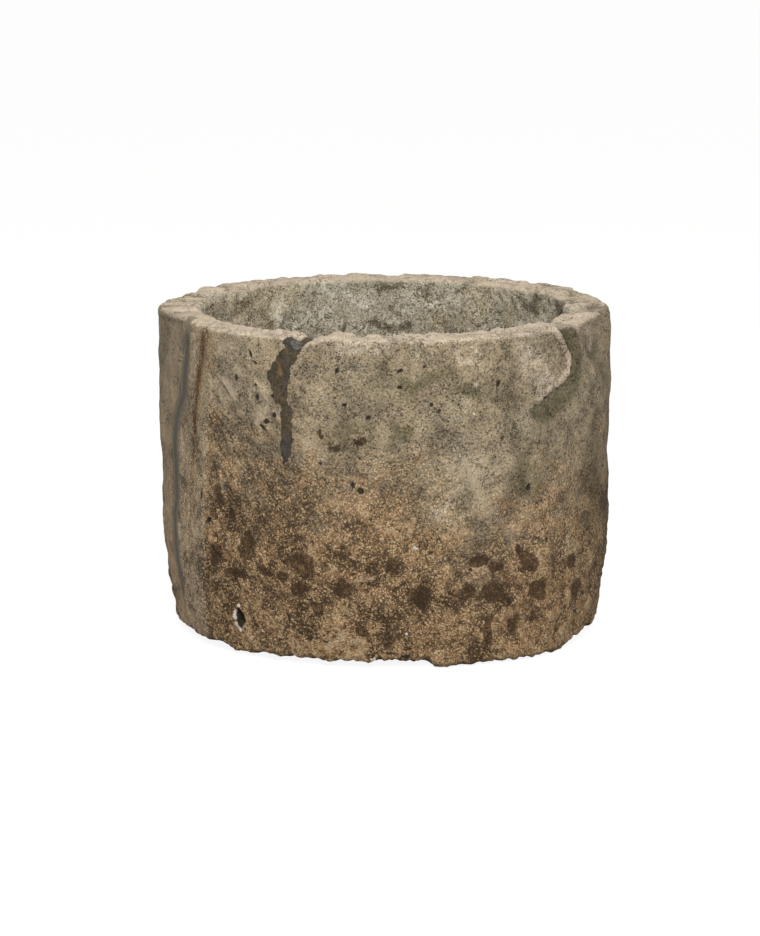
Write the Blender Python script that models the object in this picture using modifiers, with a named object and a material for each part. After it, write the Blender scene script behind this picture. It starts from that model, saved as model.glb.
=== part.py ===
"""A round limestone trough, cut from one block and mended where it has cracked.

The trough is a lathe-like form that a mason has worked by hand, so it is turned from a profile, pushed
out of true, and then cut: a flake off the rim, a broken base edge, a vug, and two chased cracks.
Each mend is the chased crack's own shape, trimmed flush with the stone and a hair smaller all round.
Metres, +Z up. Bearings are in degrees anticlockwise from +X seen from above, and the front is at -90.
"""

import math

import bmesh
import bpy
from mathutils import Matrix, Vector, noise

# The block
OUTER_WIDTH = 0.684
OUTER_DEPTH = 0.650
HEIGHT = 0.489
WALL_THICKNESS = 0.068
FLOOR_THICKNESS = 0.085

# Turned profile
RIM_OUTER_ROUND = 0.010
RIM_INNER_ROUND = 0.012
BASIN_DRAFT = 0.010
BASIN_CORNER_ROUND = 0.060
BASE_TAPER = 0.015
BASE_TAPER_HEIGHT = 0.160
BASE_EDGE_ROUND = 0.008
FLAT_FOOT_INSET = 0.055
ROW_SPACING = 0.025
TURN_STEPS = 72

# Flat side, left of the front, cut into the oval and leaning out towards the base
FACET_BEARING = -157.0
FACET_CUT = 0.0222
FACET_LEAN = 0.011
FACET_CORNER_BLEND = 0.003

# Broad swells and hollows in the round: bearing, half angle, depth at the rim, depth at the base
SWELLS = (
    (-48.0, 42.0, -0.002, 0.017),
    (-133.0, 17.0, -0.005, -0.004),
    (-60.0, 20.0, 0.002, 0.000),
    (40.0, 35.0, 0.003, -0.003),
    (128.0, 30.0, -0.004, 0.004),
    (-178.0, 34.0, 0.0025, -0.009),
)

# Hand working and wear
HEWN_DEPTH = 0.0030
HEWN_LENGTH = 0.110
CHIPPED_DEPTH = 0.0014
CHIPPED_LENGTH = 0.050
RIM_WANDER = 0.0022
RIM_WANDER_TURN = 0.35

# Broken base edge: bearing, and how far the edge stands off the ground there, more or less by a share
BASE_EDGE_UNEVEN = 0.4
BASE_EDGE_UNEVEN_TURN = 0.09
BASE_EDGE = (
    (-180.0, 0.006),
    (-153.0, 0.010),
    (-143.0, 0.011),
    (-135.0, 0.004),
    (-113.0, 0.010),
    (-80.0, 0.010),
    (-76.0, 0.000),
    (-67.0, 0.000),
    (-62.0, 0.003),
    (-39.0, 0.001),
    (-28.0, 0.006),
    (40.0, 0.006),
    (90.0, 0.011),
    (140.0, 0.007),
)

# Worn dips in the rim: bearing, half angle, depth
RIM_DIPS = (
    (-111.0, 6.0, 0.009),
    (-30.0, 4.0, 0.005),
    (-168.0, 14.0, 0.004),
    (88.0, 4.0, 0.003),
)

# Flake off the rim at the right of the front
FLAKE_BEARING = -19.0
FLAKE_BELOW_RIM = 0.005
FLAKE_HALF_WIDTH = 0.340
FLAKE_HALF_HEIGHT = 0.150
FLAKE_BITE = 0.014
FLAKE_BULGE = 0.050

# Natural pocket low on the front
VUG_BEARING = -131.0
VUG_HEIGHT = 0.060
VUG_HALF_WIDTH = 0.0065
VUG_HALF_HEIGHT = 0.0105
VUG_DEPTH = 0.022
VUG_TILT = 14.0

# Mends
MEND_CLEARANCE = 0.0003
MEND_HEADROOM = 0.020
FRONT_CRACK_BEARING = -115.0
FRONT_CRACK_FACE_DROP = 0.098
FRONT_CRACK_DEPTH = 0.026
RIM_SLOT_OFFSET = 0.014
RIM_SLOT_HALF_WIDTH = 0.0055
RIM_SLOT_DROP = 0.030
RIM_SLOT_SHOULDER = 0.018
PLUG_OFFSET = 0.012
PLUG_BELOW_RIM = 0.004
PLUG_RADIUS = 0.0080
PLUG_DEPTH = 0.015
PLUG_TILT = 45.0
LEFT_CRACK_DEPTH = 0.014

# Front crack in elevation: distance to the right of its bearing, and distance up from the rim
FRONT_CRACK_OUTLINE = (
    (-0.006, 0.000),
    (-0.007, -0.012),
    (-0.002, -0.019),
    (-0.013, -0.024),
    (-0.018, -0.034),
    (-0.034, -0.056),
    (-0.027, -0.080),
    (-0.019, -0.098),
    (-0.011, -0.104),
    (-0.010, -0.135),
    (-0.012, -0.165),
    (-0.007, -0.189),
    (0.004, -0.174),
    (0.008, -0.148),
    (0.006, -0.133),
    (0.008, -0.110),
    (-0.001, -0.098),
    (0.000, -0.078),
    (0.004, -0.057),
    (0.006, -0.044),
    (0.014, -0.036),
    (0.018, -0.024),
    (0.0245, -0.013),
    (0.025, 0.000),
)

# Left crack on the flat side: distance towards the front, distance up from the rim, half width
LEFT_CRACK_LINE = (
    (0.010, 0.000, 0.0110),
    (0.006, -0.030, 0.0125),
    (-0.006, -0.085, 0.0145),
    (-0.011, -0.122, 0.0165),
    (-0.028, -0.140, 0.0150),
    (-0.037, -0.160, 0.0145),
    (-0.040, -0.195, 0.0130),
    (-0.042, -0.305, 0.0110),
    (-0.031, -0.365, 0.0095),
    (-0.021, -0.420, 0.0050),
)

OUTER_RADIUS = OUTER_WIDTH / 2
INNER_RADIUS = OUTER_RADIUS - WALL_THICKNESS
OVAL = OUTER_DEPTH / OUTER_WIDTH


def clear_scene():
    for obj in list(bpy.data.objects):
        bpy.data.objects.remove(obj, do_unlink=True)


def collection_named(name):
    collection = bpy.data.collections.new(name)
    bpy.context.scene.collection.children.link(collection)
    return collection


def material_named(name, colour, roughness):
    material = bpy.data.materials.new(name)
    material.use_nodes = True
    shader = material.node_tree.nodes["Principled BSDF"]
    shader.inputs["Base Color"].default_value = (*colour, 1.0)
    shader.inputs["Roughness"].default_value = roughness
    shader.inputs["Metallic"].default_value = 0.0
    return material


def smooth_share(value):
    """0 below 0, 1 above 1, and a smooth step between."""
    value = min(1.0, max(0.0, value))
    return value * value * (3.0 - 2.0 * value)


def angle_between(first, second):
    """Smallest angle between two bearings, in degrees."""
    return abs((first - second + 180.0) % 360.0 - 180.0)


def run_between(start, end):
    """Points from start up to but not including end, about a row spacing apart."""
    span = math.dist(start, end)
    steps = max(1, round(span / ROW_SPACING))
    return [
        tuple(a + (b - a) * step / steps for a, b in zip(start, end))
        for step in range(steps)
    ]


def arc(centre, radius, start_degrees, end_degrees, steps):
    """Points on an arc in the profile's plane, both ends included."""
    points = []
    for step in range(steps + 1):
        angle = math.radians(start_degrees + (end_degrees - start_degrees) * step / steps)
        points.append((centre[0] + radius * math.cos(angle), centre[1] + radius * math.sin(angle)))
    return points


def trough_profile():
    """Half section from the basin's middle, up its wall, over the rim and down the outside."""
    foot_radius = OUTER_RADIUS - BASE_TAPER
    basin_radius = INNER_RADIUS - BASIN_DRAFT
    corner = (basin_radius - BASIN_CORNER_ROUND, FLOOR_THICKNESS + BASIN_CORNER_ROUND)
    inner_lip = (INNER_RADIUS + RIM_INNER_ROUND, HEIGHT - RIM_INNER_ROUND)
    outer_lip = (OUTER_RADIUS - RIM_OUTER_ROUND, HEIGHT - RIM_OUTER_ROUND)
    base_edge = (foot_radius - BASE_EDGE_ROUND, BASE_EDGE_ROUND)

    floor_edge = (corner[0], FLOOR_THICKNESS)
    points = run_between((0.0, FLOOR_THICKNESS), floor_edge)
    points += arc(corner, BASIN_CORNER_ROUND, -90.0, 0.0, 5)
    points += run_between(points[-1], (INNER_RADIUS, inner_lip[1]))[1:]
    points += arc(inner_lip, RIM_INNER_ROUND, 180.0, 90.0, 3)
    points += run_between(points[-1], (outer_lip[0], HEIGHT))[1:]
    points += arc(outer_lip, RIM_OUTER_ROUND, 90.0, 0.0, 3)
    points += run_between(points[-1], (OUTER_RADIUS, BASE_TAPER_HEIGHT))[1:]
    drop = BASE_TAPER_HEIGHT - BASE_EDGE_ROUND
    taper_steps = max(3, round(drop / ROW_SPACING))
    for step in range(taper_steps):
        share = step / taper_steps
        points.append((OUTER_RADIUS - BASE_TAPER * share**2, BASE_TAPER_HEIGHT - drop * share))
    points += arc(base_edge, BASE_EDGE_ROUND, 0.0, -90.0, 3)
    flat_radius = foot_radius - FLAT_FOOT_INSET
    points += run_between(points[-1], (flat_radius, 0.0))[1:]
    points += [(flat_radius, 0.0), (0.0, 0.0)]
    return points


def turned_mesh(points):
    """The profile swept once round Z, as a closed mesh."""
    profile = bpy.data.meshes.new("profile")
    shape = bmesh.new()
    corners = [shape.verts.new((radius, 0.0, height)) for radius, height in points]
    for first, second in zip(corners, corners[1:]):
        shape.edges.new((first, second))
    shape.to_mesh(profile)
    shape.free()
    turned = bpy.data.objects.new("turned", profile)
    bpy.context.scene.collection.objects.link(turned)
    screw = turned.modifiers.new("turn", "SCREW")
    screw.axis = "Z"
    screw.steps = screw.render_steps = TURN_STEPS
    screw.use_merge_vertices = True
    screw.merge_threshold = 0.00005
    mesh = evaluated_copy(turned)
    bpy.data.objects.remove(turned)
    return mesh


def evaluated_copy(obj):
    bpy.context.view_layer.update()
    graph = bpy.context.evaluated_depsgraph_get()
    return bpy.data.meshes.new_from_object(obj.evaluated_get(graph))


def oval_radius(bearing):
    """Radius of the true oval at a bearing."""
    angle = math.radians(bearing)
    return OUTER_RADIUS * OVAL / math.hypot(OVAL * math.cos(angle), math.sin(angle))


def facet_distance(height):
    """How far the flat side lies from the axis: it leans out until it runs into the round."""
    return oval_radius(FACET_BEARING) - FACET_CUT + FACET_LEAN * (1.0 - height / HEIGHT)


def swell(bearing, height):
    """How far the wall swells beyond the oval at a bearing and a height."""
    total = 0.0
    for swell_bearing, half_angle, at_rim, at_base in SWELLS:
        share = smooth_share(1.0 - angle_between(bearing, swell_bearing) / half_angle)
        total += share * (at_base + (at_rim - at_base) * height / HEIGHT)
    return total


def plan_scale(bearing, height):
    """Outer radius at a bearing, as a share of the round one: an oval with one flat side."""
    oval = oval_radius(bearing) + swell(bearing, height)
    facing = math.cos(math.radians(bearing - FACET_BEARING))
    if facing < 0.5:
        return oval / OUTER_RADIUS
    flat = facet_distance(height) / facing
    mix = max(0.0, 1.0 - abs(oval - flat) / (2.0 * FACET_CORNER_BLEND))
    return (min(oval, flat) - mix * mix * FACET_CORNER_BLEND / 2.0) / OUTER_RADIUS


def basin_share(radius, height):
    """0 on the outside of the stone, 1 in the basin, and between them across the rim."""
    if height < FLOOR_THICKNESS / 2:
        return 0.0
    return smooth_share((OUTER_RADIUS - radius) / WALL_THICKNESS)


def rim_drop(bearing):
    """How far wear has lowered the rim at a bearing."""
    drop = 0.0
    for dip_bearing, half_angle, depth in RIM_DIPS:
        drop += depth * smooth_share(1.0 - angle_between(bearing, dip_bearing) / half_angle)
    return drop


def edge_rise(bearing):
    """How far the broken base edge stands off the ground at a bearing."""
    ends = BASE_EDGE[1:] + ((BASE_EDGE[0][0] + 360.0, BASE_EDGE[0][1]),)
    for (start, low), (end, high) in zip(BASE_EDGE, ends):
        if start <= bearing <= end:
            return low + (high - low) * smooth_share((bearing - start) / (end - start))
    return BASE_EDGE[0][1]


def wander(point, length, offset):
    """Smooth noise from -1 to 1 that changes over a length."""
    return noise.noise(Vector(point) / length + Vector((offset, 0.0, 0.0)))


def worked(point):
    """Where a point of the true turned form ends up on the worn, hand-cut stone."""
    radius, height = math.hypot(point.x, point.y), point.z
    if radius < 1e-6:
        return point.copy()
    bearing = math.degrees(math.atan2(point.y, point.x))
    inside = basin_share(radius, height)
    outer_scale = plan_scale(bearing, height)
    inner_scale = OVAL / math.hypot(OVAL * point.x / radius, point.y / radius)
    scale = outer_scale + (inner_scale - outer_scale) * inside

    flat_radius = OUTER_RADIUS - BASE_TAPER - FLAT_FOOT_INSET
    off_flat = smooth_share((radius - flat_radius) / FLAT_FOOT_INSET) if height < FLOOR_THICKNESS / 2 else 1.0
    hewn = HEWN_DEPTH * wander(point, HEWN_LENGTH, 3.7)
    chipped = CHIPPED_DEPTH * wander(point, CHIPPED_LENGTH, 9.1)
    outward = (hewn + chipped) * off_flat * (1.0 - 2.0 * inside)
    share = scale + outward / radius * smooth_share(radius / INNER_RADIUS)

    moved = Vector((point.x * share, point.y * share, height))
    up_wall = smooth_share((height - FLOOR_THICKNESS) / (HEIGHT - FLOOR_THICKNESS))
    around = (math.cos(math.radians(bearing)), math.sin(math.radians(bearing)), 0.0)
    moved.z += up_wall**3 * (RIM_WANDER * wander(around, RIM_WANDER_TURN, 5.2) - rim_drop(bearing))
    near_base = 1.0 - smooth_share(height / BASE_TAPER_HEIGHT)
    uneven = 1.0 + BASE_EDGE_UNEVEN * wander(around, BASE_EDGE_UNEVEN_TURN, 1.3)
    moved.z += near_base * off_flat * edge_rise(bearing) * uneven
    return moved


def outward_at(bearing):
    """Unit vector that points away from the axis at a bearing."""
    return Vector((math.cos(math.radians(bearing)), math.sin(math.radians(bearing)), 0.0))


def wall_face(bearing, height):
    """A point on the outer wall, before any cut, at a bearing and a height."""
    taper = BASE_TAPER * max(0.0, 1.0 - height / BASE_TAPER_HEIGHT) ** 2
    return worked(outward_at(bearing) * (OUTER_RADIUS - taper) + Vector((0.0, 0.0, height)))


def facing_frame(bearing, origin):
    """Matrix whose X runs to the right along the wall, Y up and Z outwards, at a point."""
    out = outward_at(bearing)
    right = Vector((-out.y, out.x, 0.0))
    axes = Matrix((right, Vector((0.0, 0.0, 1.0)), out)).transposed()
    return Matrix.Translation(origin) @ axes.to_4x4()


def add_object(name, mesh, collection, material=None):
    obj = bpy.data.objects.new(name, mesh)
    collection.objects.link(obj)
    if material:
        mesh.materials.clear()
        mesh.materials.append(material)
    return obj


def as_cutter(obj):
    obj.hide_render = True
    obj.display_type = "WIRE"
    return obj


def cut(obj, cutter, operation="DIFFERENCE"):
    modifier = obj.modifiers.new(cutter.name, "BOOLEAN")
    modifier.operation = operation
    modifier.object = cutter
    return modifier


def ellipsoid_cutter(name, collection, frame, half_sizes, segments=32, rings=16):
    """A scoop: a ball scaled to half sizes along a frame's X, Y and Z."""
    shape = bmesh.new()
    bmesh.ops.create_uvsphere(shape, u_segments=segments, v_segments=rings, radius=1.0)
    bmesh.ops.scale(shape, vec=half_sizes, verts=shape.verts)
    bmesh.ops.transform(shape, matrix=frame, verts=shape.verts)
    mesh = bpy.data.meshes.new(name)
    shape.to_mesh(mesh)
    shape.free()
    return as_cutter(add_object(name, mesh, collection))


def flake_cutter(collection):
    """A broad shallow scoop out of the wall's face and the rim above it."""
    height = HEIGHT - FLAKE_BELOW_RIM
    face = wall_face(FLAKE_BEARING, height)
    centre = face + outward_at(FLAKE_BEARING) * (FLAKE_BULGE - FLAKE_BITE)
    half_sizes = Vector((FLAKE_HALF_WIDTH, FLAKE_HALF_HEIGHT, FLAKE_BULGE))
    frame = facing_frame(FLAKE_BEARING, centre)
    return ellipsoid_cutter("flake_scoop", collection, frame, half_sizes, 48, 24)


def vug_cutter(collection):
    """A small leaning pocket into the wall."""
    face = wall_face(VUG_BEARING, VUG_HEIGHT)
    frame = facing_frame(VUG_BEARING, face) @ Matrix.Rotation(math.radians(VUG_TILT), 4, "Z")
    half_sizes = Vector((VUG_HALF_WIDTH, VUG_HALF_HEIGHT, VUG_DEPTH))
    return ellipsoid_cutter("vug_pocket", collection, frame, half_sizes, 16, 10)


def inset_outline(outline, gap):
    """The outline moved in by a gap. It runs anticlockwise, so inside is on its left."""
    moved = []
    count = len(outline)
    for index, here in enumerate(outline):
        before = Vector(outline[index - 1])
        after = Vector(outline[(index + 1) % count])
        arriving = (Vector(here) - before).normalized()
        leaving = (after - Vector(here)).normalized()
        left_in = Vector((-arriving.y, arriving.x))
        left_out = Vector((-leaving.y, leaving.x))
        corner = left_in + left_out
        moved.append(tuple(Vector(here) + corner * (gap / (1.0 + left_in.dot(left_out)))))
    return moved


def slab_mesh(outline, depth, frame):
    """A flat outline with a thickness, from the frame's origin inwards and as far outwards."""
    curve = bpy.data.curves.new("outline", "CURVE")
    curve.dimensions = "2D"
    curve.fill_mode = "BOTH"
    curve.extrude = depth
    spline = curve.splines.new("POLY")
    spline.points.add(len(outline) - 1)
    for point, (across, up) in zip(spline.points, outline):
        point.co = (across, up, 0.0, 1.0)
    spline.use_cyclic_u = True
    slab = bpy.data.objects.new("slab", curve)
    bpy.context.scene.collection.objects.link(slab)
    slab.matrix_world = frame
    mesh = evaluated_copy(slab)
    mesh.transform(frame)
    shape = bmesh.new()
    shape.from_mesh(mesh)
    bmesh.ops.remove_doubles(shape, verts=shape.verts, dist=0.00001)
    bmesh.ops.recalc_face_normals(shape, faces=shape.faces)
    shape.to_mesh(mesh)
    shape.free()
    bpy.data.objects.remove(slab)
    return mesh


def with_headroom(outline):
    """The outline with its two ends, which lie on the rim, raised clear of the stone."""
    (first, _), *middle, (last, _) = outline
    return [(first, MEND_HEADROOM), *middle, (last, MEND_HEADROOM)]


def front_crack_frame():
    face = wall_face(FRONT_CRACK_BEARING, HEIGHT - FRONT_CRACK_FACE_DROP)
    return facing_frame(FRONT_CRACK_BEARING, Vector((face.x, face.y, HEIGHT)))


def front_crack_slab(gap):
    """The chased front crack: its ragged outline in elevation, cut square into the wall."""
    outline = inset_outline(with_headroom(FRONT_CRACK_OUTLINE), gap)
    return slab_mesh(outline, FRONT_CRACK_DEPTH - gap, front_crack_frame())


def rim_slot_slab(gap):
    """The crack's head, which runs through the whole wall at the rim."""
    left = RIM_SLOT_OFFSET - RIM_SLOT_HALF_WIDTH
    right = RIM_SLOT_OFFSET + RIM_SLOT_HALF_WIDTH
    top = MEND_HEADROOM + RIM_SLOT_HALF_WIDTH
    outline = [
        (left, top),
        (left, -RIM_SLOT_SHOULDER),
        (RIM_SLOT_OFFSET, -RIM_SLOT_DROP),
        (right, -RIM_SLOT_SHOULDER),
        (right, top),
    ]
    reach = WALL_THICKNESS + FRONT_CRACK_DEPTH
    return slab_mesh(inset_outline(outline, gap), reach, front_crack_frame())


def left_crack_slab(gap):
    """The chased left crack: a band along its line on the flat side."""
    towards_back = [(across - half, up) for across, up, half in LEFT_CRACK_LINE]
    towards_front = [(across + half, up) for across, up, half in LEFT_CRACK_LINE]
    outline = inset_outline(with_headroom(towards_back + towards_front[::-1]), gap)
    face = outward_at(FACET_BEARING) * facet_distance(HEIGHT / 2)
    frame = facing_frame(FACET_BEARING, Vector((face.x, face.y, HEIGHT)))
    return slab_mesh(outline, LEFT_CRACK_DEPTH + FACET_LEAN / 2 - gap, frame)


def plug_mesh(gap):
    """The pale plug at the crack's head: a short pin set into the rim's outer edge."""
    shape = bmesh.new()
    bmesh.ops.create_cone(
        shape,
        cap_ends=True,
        segments=24,
        radius1=PLUG_RADIUS - gap,
        radius2=PLUG_RADIUS - gap,
        depth=2.0 * (PLUG_DEPTH - gap),
    )
    place = Matrix.Translation((PLUG_OFFSET, -PLUG_BELOW_RIM, 0.0))
    tilt = Matrix.Rotation(math.radians(-PLUG_TILT), 4, "X")
    bmesh.ops.transform(shape, matrix=front_crack_frame() @ place @ tilt, verts=shape.verts)
    mesh = bpy.data.meshes.new("plug")
    shape.to_mesh(mesh)
    shape.free()
    return mesh


def worked_stone():
    """The worked stone before anything is cut from it."""
    mesh = turned_mesh(trough_profile())
    for vertex in mesh.vertices:
        vertex.co = worked(vertex.co)
    return mesh


def hidden(name, mesh, collection):
    return as_cutter(add_object(name, mesh, collection))


def make_trough_body(stone, parts, cutters, material):
    body = add_object("trough_body", stone, parts, material)
    cut(body, flake_cutter(cutters))
    cut(body, vug_cutter(cutters))
    chase = hidden("front_crack_chase", front_crack_slab(0.0), cutters)
    cut(chase, hidden("rim_slot", rim_slot_slab(0.0), cutters), "UNION")
    cut(chase, hidden("plug_seat", plug_mesh(-MEND_CLEARANCE), cutters), "UNION")
    cut(body, chase)
    cut(body, hidden("left_crack_chase", left_crack_slab(0.0), cutters))
    return body


def make_front_crack_fill(stone, parts, cutters, material):
    """Dark mortar in the front crack and its slot through the rim, dressed flush with the stone."""
    fill = add_object("front_crack_fill", front_crack_slab(MEND_CLEARANCE), parts, material)
    cut(fill, hidden("slot_fill", rim_slot_slab(MEND_CLEARANCE), cutters), "UNION")
    cut(fill, stone, "INTERSECT")
    cut(fill, bpy.data.objects["plug_seat"])
    return fill


def make_rim_crack_plug(stone, parts, material):
    """Paler mortar plug set into the head of the dark mend."""
    plug = add_object("rim_crack_plug", plug_mesh(0.0), parts, material)
    cut(plug, stone, "INTERSECT")
    return plug


def make_left_crack_fill(stone, parts, material):
    """Smooth grey mortar down the flat side, dressed flush with the stone."""
    fill = add_object("left_crack_fill", left_crack_slab(MEND_CLEARANCE), parts, material)
    cut(fill, stone, "INTERSECT")
    return fill


def build():
    clear_scene()
    parts = collection_named("limestone_trough")
    cutters = collection_named("cutters")
    limestone = material_named("limestone", (0.30, 0.26, 0.20), 0.93)
    dark_mortar = material_named("dark_mortar", (0.085, 0.085, 0.075), 0.75)
    pale_mortar = material_named("pale_mortar", (0.20, 0.19, 0.18), 0.85)
    grey_mortar = material_named("grey_mortar", (0.12, 0.12, 0.115), 0.80)

    stone = worked_stone()
    trim = hidden("stone_before_cuts", stone.copy(), cutters)
    make_trough_body(stone, parts, cutters, limestone)
    make_front_crack_fill(trim, parts, cutters, dark_mortar)
    make_rim_crack_plug(trim, parts, pale_mortar)
    make_left_crack_fill(trim, parts, grey_mortar)


build()
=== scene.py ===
"""The limestone trough's looks: the worked stone, its three mends, and a plain studio round them.

The stone is turned from the same profile as the solid, pushed out of true by the same formulas, and then
weathered finer: lumps, chisel marks, chips, pits and fissures. The cracks are chased out of it and filled.
Metres, +Z up. Bearings are in degrees anticlockwise from +X seen from above, and the front is at -90.
"""

import math
import random

import bmesh
import bpy
from bpy.props import FloatProperty, FloatVectorProperty, IntProperty, PointerProperty
from mathutils import Matrix, Vector, noise


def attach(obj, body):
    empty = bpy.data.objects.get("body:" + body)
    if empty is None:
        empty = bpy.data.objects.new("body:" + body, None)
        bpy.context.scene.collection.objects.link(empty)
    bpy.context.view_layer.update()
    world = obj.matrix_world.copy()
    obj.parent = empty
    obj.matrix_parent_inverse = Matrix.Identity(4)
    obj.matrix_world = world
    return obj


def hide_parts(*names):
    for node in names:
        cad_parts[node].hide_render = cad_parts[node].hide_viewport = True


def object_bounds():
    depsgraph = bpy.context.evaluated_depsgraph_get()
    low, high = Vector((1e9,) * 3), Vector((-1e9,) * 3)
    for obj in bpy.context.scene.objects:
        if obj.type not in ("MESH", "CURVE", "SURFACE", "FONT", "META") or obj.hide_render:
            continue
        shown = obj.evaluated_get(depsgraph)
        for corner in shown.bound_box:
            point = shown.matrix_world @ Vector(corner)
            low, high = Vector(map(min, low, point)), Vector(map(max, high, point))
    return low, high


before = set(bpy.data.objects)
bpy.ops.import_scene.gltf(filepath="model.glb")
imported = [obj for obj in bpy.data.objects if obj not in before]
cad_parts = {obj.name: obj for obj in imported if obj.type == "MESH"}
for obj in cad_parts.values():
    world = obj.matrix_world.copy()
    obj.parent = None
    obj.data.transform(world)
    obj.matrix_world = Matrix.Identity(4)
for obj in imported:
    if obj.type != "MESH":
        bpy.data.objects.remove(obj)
cad_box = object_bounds()

bl_info = {
    "name": "Limestone Trough",
    "version": (1, 0, 0),
    "blender": (4, 5, 0),
    "location": "View3D > Sidebar > Trough",
    "description": "A round limestone trough with a mended crack at the front and another on its flat side",
    "category": "Add Mesh",
}

# The block, with the same sizes as the solid
OUTER_WIDTH = 0.684
OUTER_DEPTH = 0.650
HEIGHT = 0.489
WALL_THICKNESS = 0.068
FLOOR_THICKNESS = 0.085
RIM_OUTER_ROUND = 0.010
RIM_INNER_ROUND = 0.012
BASIN_DRAFT = 0.010
BASIN_CORNER_ROUND = 0.060
BASE_TAPER = 0.015
BASE_TAPER_HEIGHT = 0.160
BASE_EDGE_ROUND = 0.008
FLAT_FOOT_INSET = 0.055
OUTER_RADIUS = OUTER_WIDTH / 2
INNER_RADIUS = OUTER_RADIUS - WALL_THICKNESS
OVAL = OUTER_DEPTH / OUTER_WIDTH

# Flat side, left of the front
FACET_BEARING = -157.0
FACET_CUT = 0.0222
FACET_LEAN = 0.011
FACET_CORNER_BLEND = 0.003

# Broad swells and hollows in the round: bearing, half angle, depth at the rim, depth at the base
SWELLS = (
    (-48.0, 42.0, -0.002, 0.017),
    (-133.0, 17.0, -0.005, -0.004),
    (-60.0, 20.0, 0.002, 0.000),
    (40.0, 35.0, 0.003, -0.003),
    (128.0, 30.0, -0.004, 0.004),
    (-178.0, 34.0, 0.0025, -0.009),
)

# Hand working and wear
HEWN_DEPTH = 0.0030
HEWN_LENGTH = 0.110
CHIPPED_DEPTH = 0.0014
CHIPPED_LENGTH = 0.050
RIM_WANDER = 0.0022
RIM_WANDER_TURN = 0.35

# Broken base edge: bearing, and how far the edge stands off the ground there
BASE_EDGE_UNEVEN = 0.4
BASE_EDGE_UNEVEN_TURN = 0.09
BASE_EDGE = (
    (-180.0, 0.006),
    (-153.0, 0.010),
    (-143.0, 0.011),
    (-135.0, 0.004),
    (-113.0, 0.010),
    (-80.0, 0.010),
    (-76.0, 0.000),
    (-67.0, 0.000),
    (-62.0, 0.003),
    (-39.0, 0.001),
    (-28.0, 0.006),
    (40.0, 0.006),
    (90.0, 0.011),
    (140.0, 0.007),
)

# Worn dips in the rim: bearing, half angle, depth
RIM_DIPS = (
    (-111.0, 6.0, 0.009),
    (-30.0, 4.0, 0.005),
    (-168.0, 14.0, 0.004),
    (88.0, 4.0, 0.003),
)

# Flake off the rim at the right of the front, and its two ridges: bearing, height
FLAKE_BEARING = -19.0
FLAKE_BELOW_RIM = 0.005
FLAKE_HALF_WIDTH = 0.340
FLAKE_HALF_HEIGHT = 0.150
FLAKE_BITE = 0.014
FLAKE_BULGE = 0.050
FLAKE_STEP = 0.0085
FLAKE_EDGE = ((-40.5, 0.489), (-37.5, 0.467), (-34.5, 0.443), (-36.0, 0.415), (-40.5, 0.399), (-46.0, 0.386))
FLAKE_RIDGE = ((-31.0, 0.470), (-29.0, 0.450), (-23.0, 0.411), (-18.0, 0.352))

# Natural pocket low on the front
VUG_BEARING = -131.0
VUG_HEIGHT = 0.060
VUG_HALF_WIDTH = 0.0065
VUG_HALF_HEIGHT = 0.0105
VUG_DEPTH = 0.022
VUG_TILT = 14.0
VUG_WIDER = 1.25

# Mends
MEND_CLEARANCE = 0.0003
MEND_HEADROOM = 0.020
FRONT_CRACK_BEARING = -115.0
FRONT_CRACK_FACE_DROP = 0.098
FRONT_CRACK_DEPTH = 0.026
RIM_SLOT_OFFSET = 0.014
RIM_SLOT_HALF_WIDTH = 0.0055
RIM_SLOT_DROP = 0.030
RIM_SLOT_SHOULDER = 0.018
PLUG_OFFSET = 0.012
PLUG_BELOW_RIM = 0.004
PLUG_RADIUS = 0.0080
PLUG_DEPTH = 0.015
PLUG_TILT = 45.0
LEFT_CRACK_DEPTH = 0.014

# Front crack in elevation: distance to the right of its bearing, and distance up from the rim
FRONT_CRACK_OUTLINE = (
    (-0.006, 0.000),
    (-0.007, -0.012),
    (-0.002, -0.019),
    (-0.013, -0.024),
    (-0.018, -0.034),
    (-0.034, -0.056),
    (-0.027, -0.080),
    (-0.019, -0.098),
    (-0.011, -0.104),
    (-0.010, -0.135),
    (-0.012, -0.165),
    (-0.007, -0.189),
    (0.004, -0.174),
    (0.008, -0.148),
    (0.006, -0.133),
    (0.008, -0.110),
    (-0.001, -0.098),
    (0.000, -0.078),
    (0.004, -0.057),
    (0.006, -0.044),
    (0.014, -0.036),
    (0.018, -0.024),
    (0.0245, -0.013),
    (0.025, 0.000),
)

# Left crack on the flat side: distance towards the front, distance up from the rim, half width
LEFT_CRACK_LINE = (
    (0.010, 0.000, 0.0110),
    (0.006, -0.030, 0.0125),
    (-0.006, -0.085, 0.0145),
    (-0.011, -0.122, 0.0165),
    (-0.028, -0.140, 0.0150),
    (-0.037, -0.160, 0.0145),
    (-0.040, -0.195, 0.0130),
    (-0.042, -0.305, 0.0110),
    (-0.031, -0.365, 0.0095),
    (-0.021, -0.420, 0.0050),
)

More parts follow.
